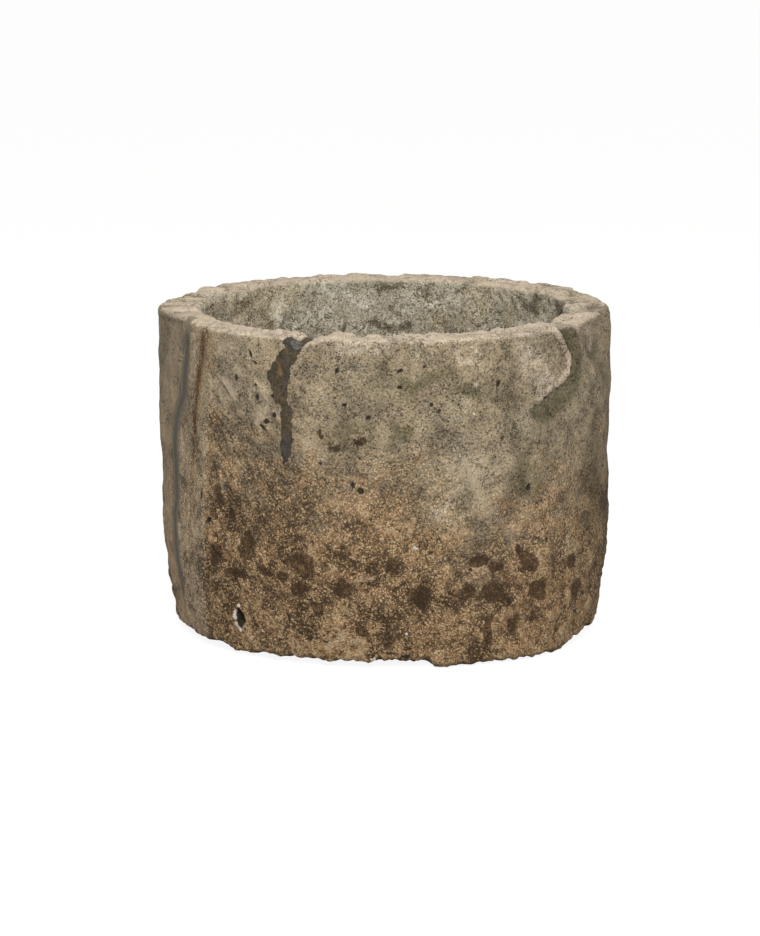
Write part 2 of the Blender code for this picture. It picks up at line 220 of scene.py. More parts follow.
# Pits in the face: bearing, height, half width, half height, depth, tilt
PITS = (
    (-126.0, 0.458, 0.0042, 0.0070, 0.0060, 20.0),
    (-124.6, 0.446, 0.0050, 0.0028, 0.0045, -30.0),
    (-124.0, 0.412, 0.0026, 0.0048, 0.0045, 10.0),
    (-102.0, 0.442, 0.0022, 0.0050, 0.0030, -25.0),
    (-86.0, 0.443, 0.0052, 0.0024, 0.0040, 25.0),
    (-86.0, 0.419, 0.0048, 0.0024, 0.0040, 0.0),
    (-60.0, 0.419, 0.0034, 0.0046, 0.0050, -20.0),
    (-78.0, 0.393, 0.0030, 0.0034, 0.0035, 0.0),
    (-100.0, 0.393, 0.0044, 0.0030, 0.0035, 15.0),
    (-94.0, 0.375, 0.0040, 0.0040, 0.0035, 0.0),
    (-124.0, 0.396, 0.0032, 0.0050, 0.0045, 0.0),
    (-119.0, 0.399, 0.0050, 0.0030, 0.0045, -45.0),
    (-122.0, 0.353, 0.0072, 0.0034, 0.0045, -35.0),
    (-121.0, 0.362, 0.0036, 0.0046, 0.0035, 0.0),
    (-118.6, 0.372, 0.0040, 0.0048, 0.0040, 10.0),
    (-76.0, 0.384, 0.0030, 0.0030, 0.0030, 0.0),
    (-96.0, 0.268, 0.0062, 0.0050, 0.0040, 0.0),
    (-98.0, 0.276, 0.0030, 0.0060, 0.0035, 0.0),
    (-52.0, 0.262, 0.0040, 0.0052, 0.0040, -20.0),
    (-131.0, 0.418, 0.0022, 0.0080, 0.0030, -12.0),
    (-115.5, 0.072, 0.0024, 0.0100, 0.0045, 24.0),
    (-112.8, 0.053, 0.0030, 0.0065, 0.0045, 50.0),
    (-110.0, 0.044, 0.0090, 0.0026, 0.0050, 4.0),
    (-105.8, 0.042, 0.0060, 0.0026, 0.0050, -20.0),
    (-84.0, 0.020, 0.0100, 0.0040, 0.0060, 0.0),
    (-89.0, 0.026, 0.0060, 0.0030, 0.0050, 10.0),
    (-144.0, 0.236, 0.0026, 0.0110, 0.0040, -8.0),
    (-141.5, 0.200, 0.0090, 0.0034, 0.0045, 25.0),
)
SCATTERED_PITS = 70

# Fissures in the face: half width, depth, and the points they run through as bearing, height
FISSURES = (
    (0.0050, 0.0010, ((-87.0, 0.279), (-83.0, 0.274), (-78.0, 0.278), (-73.0, 0.275))),
    (0.0060, 0.0030, ((-46.0, 0.386), (-42.5, 0.394), (-39.0, 0.399))),
    (0.0070, 0.0020, ((-150.0, 0.300), (-141.0, 0.235), (-137.0, 0.190))),
    (0.0070, 0.0025, ((-108.0, 0.030), (-100.0, 0.020), (-88.0, 0.024), (-80.0, 0.018))),
)

# Height that the soil stain reaches: bearing, height
SOIL_LINE = (
    (-180.0, 0.30),
    (-150.0, 0.40),
    (-134.0, 0.35),
    (-122.0, 0.33),
    (-100.0, 0.32),
    (-85.0, 0.29),
    (-70.0, 0.24),
    (-50.0, 0.265),
    (-30.0, 0.28),
    (0.0, 0.30),
    (60.0, 0.26),
    (120.0, 0.31),
)

# Dark earthy blotches, most of them low on the face: bearing, height, half width, half height, strength
BLOTCHES = (
    (-68.0, 0.119, 0.013, 0.012, 1.0),
    (-62.0, 0.110, 0.022, 0.016, 1.0),
    (-58.5, 0.100, 0.014, 0.012, 1.0),
    (-49.0, 0.107, 0.016, 0.016, 1.0),
    (-52.5, 0.152, 0.015, 0.015, 1.0),
    (-65.0, 0.160, 0.016, 0.009, 1.0),
    (-60.5, 0.150, 0.012, 0.008, 0.9),
    (-55.5, 0.062, 0.006, 0.014, 1.0),
    (-62.5, 0.052, 0.007, 0.022, 1.0),
    (-54.5, 0.168, 0.005, 0.012, 0.9),
    (-37.0, 0.139, 0.010, 0.012, 0.9),
    (-34.0, 0.095, 0.012, 0.016, 0.8),
    (-80.0, 0.108, 0.014, 0.016, 1.0),
    (-112.0, 0.160, 0.026, 0.018, 0.60),
    (-102.5, 0.332, 0.016, 0.011, 0.45),
    (-106.0, 0.354, 0.009, 0.009, 0.45),
    (-96.0, 0.345, 0.012, 0.008, 0.38),
    (-50.0, 0.070, 0.034, 0.030, 0.22),
    (-128.0, 0.165, 0.020, 0.018, 0.50),
    (-88.0, 0.156, 0.014, 0.010, 0.9),
    (-93.0, 0.148, 0.010, 0.009, 0.8),
    (-122.0, 0.143, 0.012, 0.010, 1.0),
    (-117.0, 0.135, 0.010, 0.009, 0.9),
    (-110.0, 0.150, 0.013, 0.014, 1.0),
    (-112.0, 0.118, 0.011, 0.011, 1.0),
    (-107.5, 0.091, 0.010, 0.010, 1.0),
    (-132.0, 0.130, 0.018, 0.010, 0.9),
    (-128.0, 0.180, 0.014, 0.010, 0.9),
    (-139.0, 0.150, 0.012, 0.018, 0.9),
    (-101.0, 0.122, 0.012, 0.013, 0.9),
    (-137.0, 0.240, 0.010, 0.020, 0.8),
    (-133.0, 0.215, 0.009, 0.012, 0.8),
    (-96.0, 0.062, 0.012, 0.009, 0.7),
    (20.0, 0.120, 0.030, 0.020, 0.9),
    (45.0, 0.090, 0.024, 0.018, 0.8),
    (95.0, 0.140, 0.030, 0.022, 0.9),
    (140.0, 0.100, 0.026, 0.020, 0.8),
)

# Diffuse green damp, and painted shade on the right of the face: bearing, height, half width, half height,
# strength
DAMP_AND_SHADE = (
    (-68.0, 0.413, 0.042, 0.026, 0.90),
    (-60.0, 0.396, 0.026, 0.024, 0.35),
    (-80.0, 0.432, 0.048, 0.022, 0.75),
    (-90.0, 0.420, 0.055, 0.030, 0.40),
    (-56.0, 0.375, 0.030, 0.022, 0.25),
    (-35.0, 0.430, 0.012, 0.035, 0.85),
    (-22.0, 0.440, 0.035, 0.030, 0.65),
    (-16.0, 0.390, 0.040, 0.050, 0.45),
    (-112.0, 0.450, 0.010, 0.020, 0.40),
    (-24.0, 0.250, 0.050, 0.120, 0.55),
    (-53.0, 0.290, 0.045, 0.055, 0.62),
    (-86.0, 0.305, 0.050, 0.045, 0.32),
    (-100.0, 0.344, 0.058, 0.036, 0.46),
    (-8.0, 0.200, 0.060, 0.160, 0.60),
    (-86.5, 0.354, 0.024, 0.018, 0.75),
    (60.0, 0.380, 0.080, 0.070, 0.70),
    (110.0, 0.330, 0.060, 0.090, 0.60),
    (160.0, 0.300, 0.050, 0.100, 0.50),
)

# Pale, pinkish worn stone: bearing, height, half width, half height, strength
PALE = (
    (-50.0, 0.450, 0.034, 0.028, 0.75),
    (-45.5, 0.415, 0.024, 0.028, 0.75),
    (-95.0, 0.480, 0.060, 0.012, 0.80),
    (-68.0, 0.472, 0.060, 0.012, 0.60),
    (-75.0, 0.245, 0.050, 0.026, 0.42),
    (-104.0, 0.310, 0.020, 0.020, 0.42),
    (-66.0, 0.425, 0.008, 0.007, 0.80),
    (-136.0, 0.455, 0.030, 0.018, 0.40),
    (-24.0, 0.462, 0.024, 0.020, 0.75),
    (25.0, 0.440, 0.060, 0.030, 0.50),
    (85.0, 0.452, 0.070, 0.022, 0.55),
    (135.0, 0.420, 0.060, 0.040, 0.50),
)

# Smooth grey stone where little grain shows: bearing, height, half width, half height, strength
SMOOTH = (
    (-122.0, 0.385, 0.030, 0.045, 1.00),
    (-133.0, 0.420, 0.030, 0.030, 0.90),
    (-112.0, 0.330, 0.022, 0.020, 0.70),
    (-68.0, 0.290, 0.060, 0.045, 0.80),
    (-55.0, 0.230, 0.040, 0.045, 0.60),
    (-50.0, 0.085, 0.070, 0.055, 0.55),
    (70.0, 0.300, 0.080, 0.080, 0.70),
    (150.0, 0.200, 0.070, 0.090, 0.60),
)

# Dark damp in the basin: bearing, height, half width, half height, strength
BASIN_DARK = (
    (88.0, 0.474, 0.036, 0.009, 1.00),
    (76.0, 0.470, 0.022, 0.012, 0.75),
    (62.5, 0.474, 0.014, 0.011, 0.60),
    (30.0, 0.474, 0.050, 0.014, 1.00),
    (12.0, 0.468, 0.050, 0.020, 0.80),
    (90.0, 0.416, 0.055, 0.010, 1.00),
    (105.0, 0.405, 0.050, 0.012, 0.70),
    (66.0, 0.400, 0.080, 0.016, 0.60),
    (145.0, 0.455, 0.026, 0.018, 0.60),
    (132.0, 0.437, 0.016, 0.018, 0.55),
    (117.0, 0.463, 0.020, 0.012, 0.50),
    (-150.0, 0.440, 0.090, 0.030, 0.50),
    (-60.0, 0.430, 0.120, 0.030, 0.60),
)

# Pale crusts in the basin: bearing, height, half width, half height, strength
BASIN_PALE = (
    (129.0, 0.449, 0.026, 0.024, 1.00),
    (71.0, 0.446, 0.014, 0.010, 1.00),
    (61.5, 0.458, 0.010, 0.014, 0.80),
    (96.0, 0.446, 0.040, 0.013, 0.70),
    (104.0, 0.462, 0.030, 0.010, 0.60),
    (50.0, 0.466, 0.022, 0.012, 0.45),
    (-100.0, 0.420, 0.060, 0.025, 0.60),
    (-20.0, 0.440, 0.050, 0.020, 0.50),
)

# Lime crusts and specks: bearing, height, radius, strength
LIME = (
    (-133.0, 0.069, 0.0056, 1.0),
    (-133.2, 0.060, 0.0058, 1.0),
    (-132.8, 0.050, 0.0056, 1.0),
    (-131.6, 0.0435, 0.0046, 0.9),
    (-131.6, 0.0785, 0.0048, 0.9),
    (-82.0, 0.185, 0.0046, 1.0),
    (-81.2, 0.182, 0.0030, 1.0),
    (-86.0, 0.156, 0.0034, 0.8),
    (-100.0, 0.225, 0.0040, 0.7),
    (-84.0, 0.056, 0.0042, 0.9),
    (-67.0, 0.378, 0.0030, 0.9),
    (-64.5, 0.424, 0.0045, 0.6),
    (-124.0, 0.046, 0.0045, 0.6),
    (-93.0, 0.016, 0.0075, 0.7),
    (-100.0, 0.008, 0.0075, 0.6),
    (-126.0, 0.452, 0.0040, 0.5),
    (32.0, 0.090, 0.0060, 0.9),
    (84.0, 0.210, 0.0060, 0.9),
    (147.0, 0.070, 0.0060, 0.9),
)

# Rust: bearing, height, half width, half height, strength
RUST = (
    (-126.3, 0.470, 0.008, 0.009, 0.85),
    (-120.5, 0.385, 0.008, 0.015, 0.75),
    (-119.0, 0.350, 0.007, 0.026, 0.60),
    (-117.2, 0.320, 0.006, 0.016, 0.40),
    (-116.4, 0.462, 0.005, 0.010, 0.80),
    (-50.5, 0.440, 0.009, 0.012, 0.50),
    (-47.0, 0.436, 0.008, 0.012, 0.50),
    (-110.5, 0.378, 0.010, 0.010, 0.35),
    (-141.0, 0.455, 0.014, 0.030, 0.70),
)

# Bites out of the base edge: bearing, half angle, how far they lift it
BASE_CHIPS = (
    (-142.0, 3.0, 0.0040),
    (-126.0, 4.0, 0.0040),
    (-111.0, 4.0, 0.0040),
    (-102.0, 3.0, 0.0045),
    (-92.0, 3.5, 0.0050),
    (-78.2, 2.2, 0.0100),
    (-31.0, 4.5, 0.0070),
    (-21.0, 6.0, 0.0150),
)

# Stretches of the rim broken off lower, with a sharp step at each end: from one bearing to another, depth
RIM_CHIPS = (
    (151.0, 186.0, 0.0040),
    (-12.0, 24.0, 0.0022),
    (100.0, 109.0, 0.0020),
    (46.0, 52.0, 0.0018),
    (-58.0, -54.0, 0.0016),
    (-92.0, -84.0, 0.0014),
)

# Corner between the flat side and the front, stained with rust: bearing, height
RUST_CORNER_BEARING = -146.0
RUST_CORNER_HALF_ANGLE = 16.0
RUST_CORNER = (
    (-144.0, 0.488),
    (-145.0, 0.438),
    (-146.5, 0.418),
    (-148.0, 0.378),
    (-149.5, 0.337),
    (-150.5, 0.288),
    (-152.0, 0.224),
    (-155.0, 0.067),
)


class TroughStone(bpy.types.PropertyGroup):
    """Working and colours of the stone."""

    turn_steps: IntProperty(
        name="Turn Steps", description="Faces round the trough", default=424, min=72, max=480
    )
    row_height: FloatProperty(
        name="Row Height", description="Height of a row of faces on the outside",
        default=0.0048, unit="LENGTH",
    )
    lump_depth: FloatProperty(
        name="Lump Depth", description="Depth of the small lumps on the face",
        default=0.0024, unit="LENGTH",
    )
    chisel_depth: FloatProperty(
        name="Chisel Depth", description="Depth of the chisel marks in the basin",
        default=0.0030, unit="LENGTH",
    )
    hack_depth: FloatProperty(
        name="Hack Depth", description="Depth of the slanting hack marks on the face",
        default=0.0050, unit="LENGTH",
    )
    edge_break: FloatProperty(
        name="Edge Break", description="How ragged the base edge and the rim are",
        default=0.0035, unit="LENGTH",
    )
    limestone: FloatVectorProperty(
        name="Limestone", description="Weathered face", subtype="COLOR",
        default=(0.330, 0.260, 0.167), min=0, max=1,
    )
    limestone_grey: FloatVectorProperty(
        name="Grey Limestone", description="Cooler face", subtype="COLOR",
        default=(0.272, 0.220, 0.147), min=0, max=1,
    )
    worn: FloatVectorProperty(
        name="Worn Stone", description="Pale worn rim", subtype="COLOR",
        default=(0.455, 0.375, 0.280), min=0, max=1,
    )
    soil: FloatVectorProperty(
        name="Soil", description="Soil stain on the lower face", subtype="COLOR",
        default=(0.256, 0.152, 0.070), min=0, max=1,
    )
    soil_dark: FloatVectorProperty(
        name="Dark Soil", description="Thicker soil", subtype="COLOR",
        default=(0.120, 0.077, 0.042), min=0, max=1,
    )
    earth: FloatVectorProperty(
        name="Dark Earth", description="Dark blotches", subtype="COLOR",
        default=(0.067, 0.039, 0.019), min=0, max=1,
    )
    rust: FloatVectorProperty(
        name="Rust", description="Rust stain", subtype="COLOR",
        default=(0.250, 0.140, 0.060), min=0, max=1,
    )
    lime: FloatVectorProperty(
        name="Lime", description="Lime crust", subtype="COLOR",
        default=(0.760, 0.710, 0.620), min=0, max=1,
    )


class TroughMends(bpy.types.PropertyGroup):
    """Depths and colours of the mends."""

    front_recess: FloatProperty(
        name="Front Recess", description="How far the dark mortar sits below the face",
        default=0.0010, unit="LENGTH",
    )
    left_recess: FloatProperty(
        name="Left Recess", description="How far the grey mortar sits below the face",
        default=0.0002, unit="LENGTH",
    )
    ragged_depth: FloatProperty(
        name="Ragged Depth", description="How ragged the chased edges are",
        default=0.0026, unit="LENGTH",
    )
    dark_mortar: FloatVectorProperty(
        name="Dark Mortar", description="Front mend", subtype="COLOR",
        default=(0.080, 0.066, 0.043), min=0, max=1,
    )
    slate_mortar: FloatVectorProperty(
        name="Slate Mortar", description="Head of the mend", subtype="COLOR",
        default=(0.064, 0.057, 0.048), min=0, max=1,
    )
    pale_mortar: FloatVectorProperty(
        name="Pale Mortar", description="Plug", subtype="COLOR",
        default=(0.185, 0.170, 0.148), min=0, max=1,
    )
    grey_mortar: FloatVectorProperty(
        name="Grey Mortar", description="Strip on the flat side", subtype="COLOR",
        default=(0.098, 0.090, 0.070), min=0, max=1,
    )


# The form that the solid has too


def smooth_share(value):
    """0 below 0, 1 above 1, and a smooth step between."""
    value = min(1.0, max(0.0, value))
    return value * value * (3.0 - 2.0 * value)


def angle_between(first, second):
    """Smallest angle between two bearings, in degrees."""
    return abs((first - second + 180.0) % 360.0 - 180.0)


def oval_radius(bearing):
    """Radius of the true oval at a bearing."""
    angle = math.radians(bearing)
    return OUTER_RADIUS * OVAL / math.hypot(OVAL * math.cos(angle), math.sin(angle))


def facet_distance(height):
    """How far the flat side lies from the axis: it leans out until it runs into the round."""
    return oval_radius(FACET_BEARING) - FACET_CUT + FACET_LEAN * (1.0 - height / HEIGHT)


def swell(bearing, height):
    """How far the wall swells beyond the oval at a bearing and a height."""
    total = 0.0
    for swell_bearing, half_angle, at_rim, at_base in SWELLS:
        share = smooth_share(1.0 - angle_between(bearing, swell_bearing) / half_angle)
        total += share * (at_base + (at_rim - at_base) * height / HEIGHT)
    return total


def facet_share(bearing, height):
    """1 on the flat side, 0 on the round."""
    facing = math.cos(math.radians(bearing - FACET_BEARING))
    if facing < 0.5:
        return 0.0
    oval = oval_radius(bearing) + swell(bearing, height)
    return smooth_share((oval - facet_distance(height) / facing) / 0.004 + 0.5)


def plan_scale(bearing, height):
    """Outer radius at a bearing, as a share of the round one: an oval with one flat side and a flake off."""
    oval = oval_radius(bearing) + swell(bearing, height)
    facing = math.cos(math.radians(bearing - FACET_BEARING))
    if facing >= 0.5:
        flat = facet_distance(height) / facing
        mix = max(0.0, 1.0 - abs(oval - flat) / (2.0 * FACET_CORNER_BLEND))
        return (min(oval, flat) - mix * mix * FACET_CORNER_BLEND / 2.0) / OUTER_RADIUS
    return oval / OUTER_RADIUS


def basin_share(radius, height):
    """0 on the outside of the stone, 1 in the basin, and between them across the rim."""
    if height < FLOOR_THICKNESS / 2:
        return 0.0
    return smooth_share((OUTER_RADIUS - radius) / WALL_THICKNESS)


def rim_drop(bearing):
    """How far wear has lowered the rim at a bearing."""
    drop = 0.0
    for dip_bearing, half_angle, depth in RIM_DIPS:
        drop += depth * smooth_share(1.0 - angle_between(bearing, dip_bearing) / half_angle)
    return drop


def level_at(bearing, levels):
    """Value at a bearing, eased between bearings that have one and round past the last to the first."""
    ends = levels[1:] + ((levels[0][0] + 360.0, levels[0][1]),)
    for (start, low), (end, high) in zip(levels, ends):
        if start <= bearing <= end:
            return low + (high - low) * smooth_share((bearing - start) / (end - start))
    return levels[0][1]


def wander(point, length, offset):
    """Smooth noise from -1 to 1 that changes over a length."""
    return noise.noise(Vector(point) / length + Vector((offset, 0.0, 0.0)))


def bearing_of(point):
    return math.degrees(math.atan2(point.y, point.x))


def outward_at(bearing):
    """Unit vector that points away from the axis at a bearing."""
    return Vector((math.cos(math.radians(bearing)), math.sin(math.radians(bearing)), 0.0))


def flake_centre():
    """Distance from the axis to the middle of the flake's scoop."""
    height = HEIGHT - FLAKE_BELOW_RIM
    face = worked(outward_at(FLAKE_BEARING) * OUTER_RADIUS + Vector((0.0, 0.0, height)), 0.0)
    return math.hypot(face.x, face.y) + FLAKE_BULGE - FLAKE_BITE


def flake_radius(bearing, height, centre):
    """Where the flake's scoop meets the ray from the axis at a bearing and a height."""
    turn = math.radians(bearing - FLAKE_BEARING)
    up = (height - (HEIGHT - FLAKE_BELOW_RIM)) / FLAKE_HALF_HEIGHT
    if math.cos(turn) < 0.3 or abs(up) >= 1.0:
        return math.inf
    square = (math.sin(turn) / FLAKE_HALF_WIDTH) ** 2 + (math.cos(turn) / FLAKE_BULGE) ** 2
    slope = -2.0 * math.cos(turn) * centre / FLAKE_BULGE**2
    level = (centre / FLAKE_BULGE) ** 2 - (1.0 - up * up)
    inner = slope * slope - 4.0 * square * level
    return math.inf if inner <= 0.0 else (-slope - math.sqrt(inner)) / (2.0 * square)


def flake_edge_distance(bearing, height):
    """Distance into the flake from its sharp left edge, or a long way off where it doesn't reach."""
    if -62.0 < bearing < 12.0 and height > 0.32:
        return line_distance(bearing, height, FLAKE_EDGE)
    return -1.0


def flake_step(bearing, height):
    """How far the flake's left edge steps into the face."""
    edge = flake_edge_distance(bearing, height)
    fade = smooth_share(1.0 - edge / 0.080) * smooth_share((height - 0.33) / 0.07)
    deeper = 0.45 + 0.55 * smooth_share((height - 0.39) / 0.07)
    return FLAKE_STEP * smooth_share(edge / 0.008 + 0.5) * fade * deeper


def worked(point, flake):
    """Where a point of the true turned form ends up on the worn, hand-cut stone."""
    radius, height = math.hypot(point.x, point.y), point.z
    if radius < 1e-6:
        return point.copy()
    bearing = bearing_of(point)
    inside = basin_share(radius, height)
    outer_scale = plan_scale(bearing, height)
    if flake:
        outer_scale = min(outer_scale, flake_radius(bearing, height, flake) / OUTER_RADIUS)
        outer_scale -= flake_step(bearing, height) / OUTER_RADIUS
    inner_scale = OVAL / math.hypot(OVAL * point.x / radius, point.y / radius)
    scale = outer_scale + (inner_scale - outer_scale) * inside

    flat_radius = OUTER_RADIUS - BASE_TAPER - FLAT_FOOT_INSET
    off_flat = smooth_share((radius - flat_radius) / FLAT_FOOT_INSET) if height < FLOOR_THICKNESS / 2 else 1.0
    hewn = HEWN_DEPTH * wander(point, HEWN_LENGTH, 3.7)
    chipped = CHIPPED_DEPTH * wander(point, CHIPPED_LENGTH, 9.1)
    outward = (hewn + chipped) * off_flat * (1.0 - 2.0 * inside)
    share = scale + outward / radius * smooth_share(radius / INNER_RADIUS)

    moved = Vector((point.x * share, point.y * share, height))
    up_wall = smooth_share((height - FLOOR_THICKNESS) / (HEIGHT - FLOOR_THICKNESS))
    around = (math.cos(math.radians(bearing)), math.sin(math.radians(bearing)), 0.0)
    moved.z += up_wall**3 * (RIM_WANDER * wander(around, RIM_WANDER_TURN, 5.2) - rim_drop(bearing))
    near_base = 1.0 - smooth_share(height / BASE_TAPER_HEIGHT)
    uneven = 1.0 + BASE_EDGE_UNEVEN * wander(around, BASE_EDGE_UNEVEN_TURN, 1.3)
    moved.z += near_base * off_flat * level_at(bearing, BASE_EDGE) * uneven
    return moved


def wall_face(bearing, height):
    """A point on the outer wall, before any cut, at a bearing and a height."""
    taper = BASE_TAPER * max(0.0, 1.0 - height / BASE_TAPER_HEIGHT) ** 2
    return worked(outward_at(bearing) * (OUTER_RADIUS - taper) + Vector((0.0, 0.0, height)), 0.0)


def facing_frame(bearing, origin):
    """Matrix whose X runs to the right along the wall, Y up and Z outwards, at a point."""
    out = outward_at(bearing)
    right = Vector((-out.y, out.x, 0.0))
    axes = Matrix((right, Vector((0.0, 0.0, 1.0)), out)).transposed()
    return Matrix.Translation(origin) @ axes.to_4x4()


def run_between(start, end, spacing):
    """Points from start up to but not including end, about a spacing apart."""
    steps = max(1, round(math.dist(start, end) / spacing))
    return [tuple(a + (b - a) * step / steps for a, b in zip(start, end)) for step in range(steps)]


def arc(centre, radius, start_degrees, end_degrees, steps):
    """Points on an arc in the profile's plane, both ends included."""
    points = []
    for step in range(steps + 1):
        angle = math.radians(start_degrees + (end_degrees - start_degrees) * step / steps)
        points.append((centre[0] + radius * math.cos(angle), centre[1] + radius * math.sin(angle)))
    return points


def trough_profile(row):
    """Half section from the basin's middle, up its wall, over the rim and down the outside."""
    foot_radius = OUTER_RADIUS - BASE_TAPER
    basin_radius = INNER_RADIUS - BASIN_DRAFT
    corner = (basin_radius - BASIN_CORNER_ROUND, FLOOR_THICKNESS + BASIN_CORNER_ROUND)
    inner_lip = (INNER_RADIUS + RIM_INNER_ROUND, HEIGHT - RIM_INNER_ROUND)
    outer_lip = (OUTER_RADIUS - RIM_OUTER_ROUND, HEIGHT - RIM_OUTER_ROUND)
    base_edge = (foot_radius - BASE_EDGE_ROUND, BASE_EDGE_ROUND)
    shadow_line = (basin_radius + BASIN_DRAFT * 0.7, corner[1] + (inner_lip[1] - corner[1]) * 0.7)

    points = run_between((0.0, FLOOR_THICKNESS), (corner[0], FLOOR_THICKNESS), 3.4 * row)
    points += arc(corner, BASIN_CORNER_ROUND, -90.0, 0.0, 8)
    points += run_between(points[-1], shadow_line, 2.2 * row)[1:]
    points += run_between(shadow_line, (INNER_RADIUS, inner_lip[1]), 1.15 * row)
    points += arc(inner_lip, RIM_INNER_ROUND, 180.0, 90.0, 4)
    points += run_between(points[-1], (outer_lip[0], HEIGHT), row)[1:]
    points += arc(outer_lip, RIM_OUTER_ROUND, 90.0, 0.0, 4)
    points += run_between(points[-1], (OUTER_RADIUS, BASE_TAPER_HEIGHT), row)[1:]
    drop = BASE_TAPER_HEIGHT - BASE_EDGE_ROUND
    taper_steps = round(drop / row)
    for step in range(taper_steps):
        share = step / taper_steps
        points.append((OUTER_RADIUS - BASE_TAPER * share**2, BASE_TAPER_HEIGHT - drop * share))
    points += arc(base_edge, BASE_EDGE_ROUND, 0.0, -90.0, 3)
    flat_radius = foot_radius - FLAT_FOOT_INSET
    points += run_between(points[-1], (flat_radius, 0.0), 2.0 * row)[1:]
    points += [(flat_radius, 0.0), (flat_radius / 2, 0.0), (0.0, 0.0)]
    return points


# Finer weathering, in the looks only


def reach_share(distance, radius):
    """1 in the middle of a spot, falling smoothly to 0 at its radius."""
    return smooth_share(1.0 - distance / radius)


def spot_distance(bearing, height, spot):
    """Distance over the outer wall from a spot, which starts with a bearing and a height."""
    return math.hypot(math.radians(angle_between(bearing, spot[0])) * OUTER_RADIUS, height - spot[1])


def line_distance(bearing, height, line):
    """Distance over the outer wall from a line of bearings and heights, to the right of it positive."""
    nearest, side = math.inf, 1.0
    here = Vector((math.radians(bearing) * OUTER_RADIUS, height))
    for start, end in zip(line, line[1:]):
        first = Vector((math.radians(start[0]) * OUTER_RADIUS, start[1]))
        last = Vector((math.radians(end[0]) * OUTER_RADIUS, end[1]))
        along = last - first
        share = min(1.0, max(0.0, (here - first).dot(along) / along.length_squared))
        away = here - (first + along * share)
        if away.length < nearest:
            nearest = away.length
            side = 1.0 if along.x * away.y - along.y * away.x > 0.0 else -1.0
    return nearest * side


def patch_share(bearing, height, patches):
    """Strongest of several soft oval patches: bearing, height, half width, half height, strength."""
    strongest = 0.0
    for patch_bearing, patch_height, half_width, half_height, strength in patches:
        across = math.radians(angle_between(bearing, patch_bearing)) * OUTER_RADIUS / half_width
        up = (height - patch_height) / half_height
        if abs(across) < 1.6 and abs(up) < 1.6:
            strongest = max(strongest, strength * math.exp(-1.4 * (across * across + up * up)))
    return strongest


def line_share(bearing, height, line, half_width):
    """1 on a line over the outer wall, falling smoothly to 0 at its half width."""
    middle = sum(point[0] for point in line) / len(line)
    if angle_between(bearing, middle) > 25.0:
        return 0.0
    return reach_share(abs(line_distance(bearing, height, line)), half_width)


def lumps_at(point):
    """Small lumps and hollows of the face, from about -1 to 1."""
    return wander(point, 0.045, 1.7) + 0.6 * wander(point, 0.022, 6.3) + 0.4 * wander(point, 0.012, 3.9)


def hack_at(bearing, height):
    """How deep a slanting hack mark goes at a place on the round wall, from about -0.5 to 1."""
    low = 1.0 - smooth_share((height - 0.06) / 0.20)
    hacked = smooth_share((bearing + 154.0) / 8.0) * smooth_share((-104.0 - bearing) / 14.0)
    hacked = max(hacked, 0.7 * low) * smooth_share((0.46 - height) / 0.05)
    across = math.radians(bearing) * OUTER_RADIUS
    slant = Vector(((across + height) / 0.010, (across - height) / 0.034, 0.0))
    return hacked * (0.25 - noise.noise(slant)) * (1.0 - facet_share(bearing, height))


def weather(bearing, height, radius, point, stone):
    """How far finer weathering moves a point of the worked stone outwards."""
    inside = basin_share(radius, height)
    outside = 1.0 - inside
    facet = facet_share(bearing, height)
    low = 1.0 - smooth_share((height - 0.06) / 0.20)
    rough = (1.0 - 0.65 * facet) * (0.75 + 0.55 * low)
    moved = stone.lump_depth * rough * (lumps_at(point) - 0.45)
    if height > HEIGHT - 0.025:
        flaked = wander(point, 0.024, 14.1) + 0.5 * wander(point, 0.012, 15.7)
        near_rim = smooth_share((height - HEIGHT + 0.025) / 0.012)
        moved -= 0.0028 * smooth_share((flaked - 0.08) / 0.22) * near_rim
    if height < FLOOR_THICKNESS / 2 and radius < OUTER_RADIUS - BASE_TAPER - FLAT_FOOT_INSET:
        return 0.0
    if inside > 0.02:
        slant = Vector((point.x + point.z, point.y - 0.6 * point.z, 0.35 * point.z))
        marks = 0.7 * wander(slant, 0.015, 2.9) + 0.7 * wander(point, 0.028, 8.8)
        stray = Vector((0.0, 0.0, 0.6 * wander(point, 0.03, 0.4)))
        near, next_near = noise.voronoi(point / 0.024 + stray)[0][:2]
        marks -= 0.8 * smooth_share(1.0 - (next_near - near) / 0.22)
        moved += stone.chisel_depth * marks * smooth_share(inside * 1.4)
    if outside < 0.5:
        return moved
    for half_width, depth, line in FISSURES:
        moved -= depth * line_share(bearing, height, line, half_width)
    moved -= 0.0015 * line_share(bearing, height, RUST_CORNER, 0.008)
    moved -= stone.hack_depth * hack_at(bearing, height)
    edge = flake_edge_distance(bearing, height)
    if edge > -0.03:
        moved += 0.0020 * reach_share(abs(edge + 0.005), 0.010)
        moved += 0.0022 * reach_share(abs(line_distance(bearing, height, FLAKE_RIDGE)), 0.016)
        moved += 0.0016 * smooth_share(edge / 0.01) * wander(point, 0.020, 12.3)
    return moved


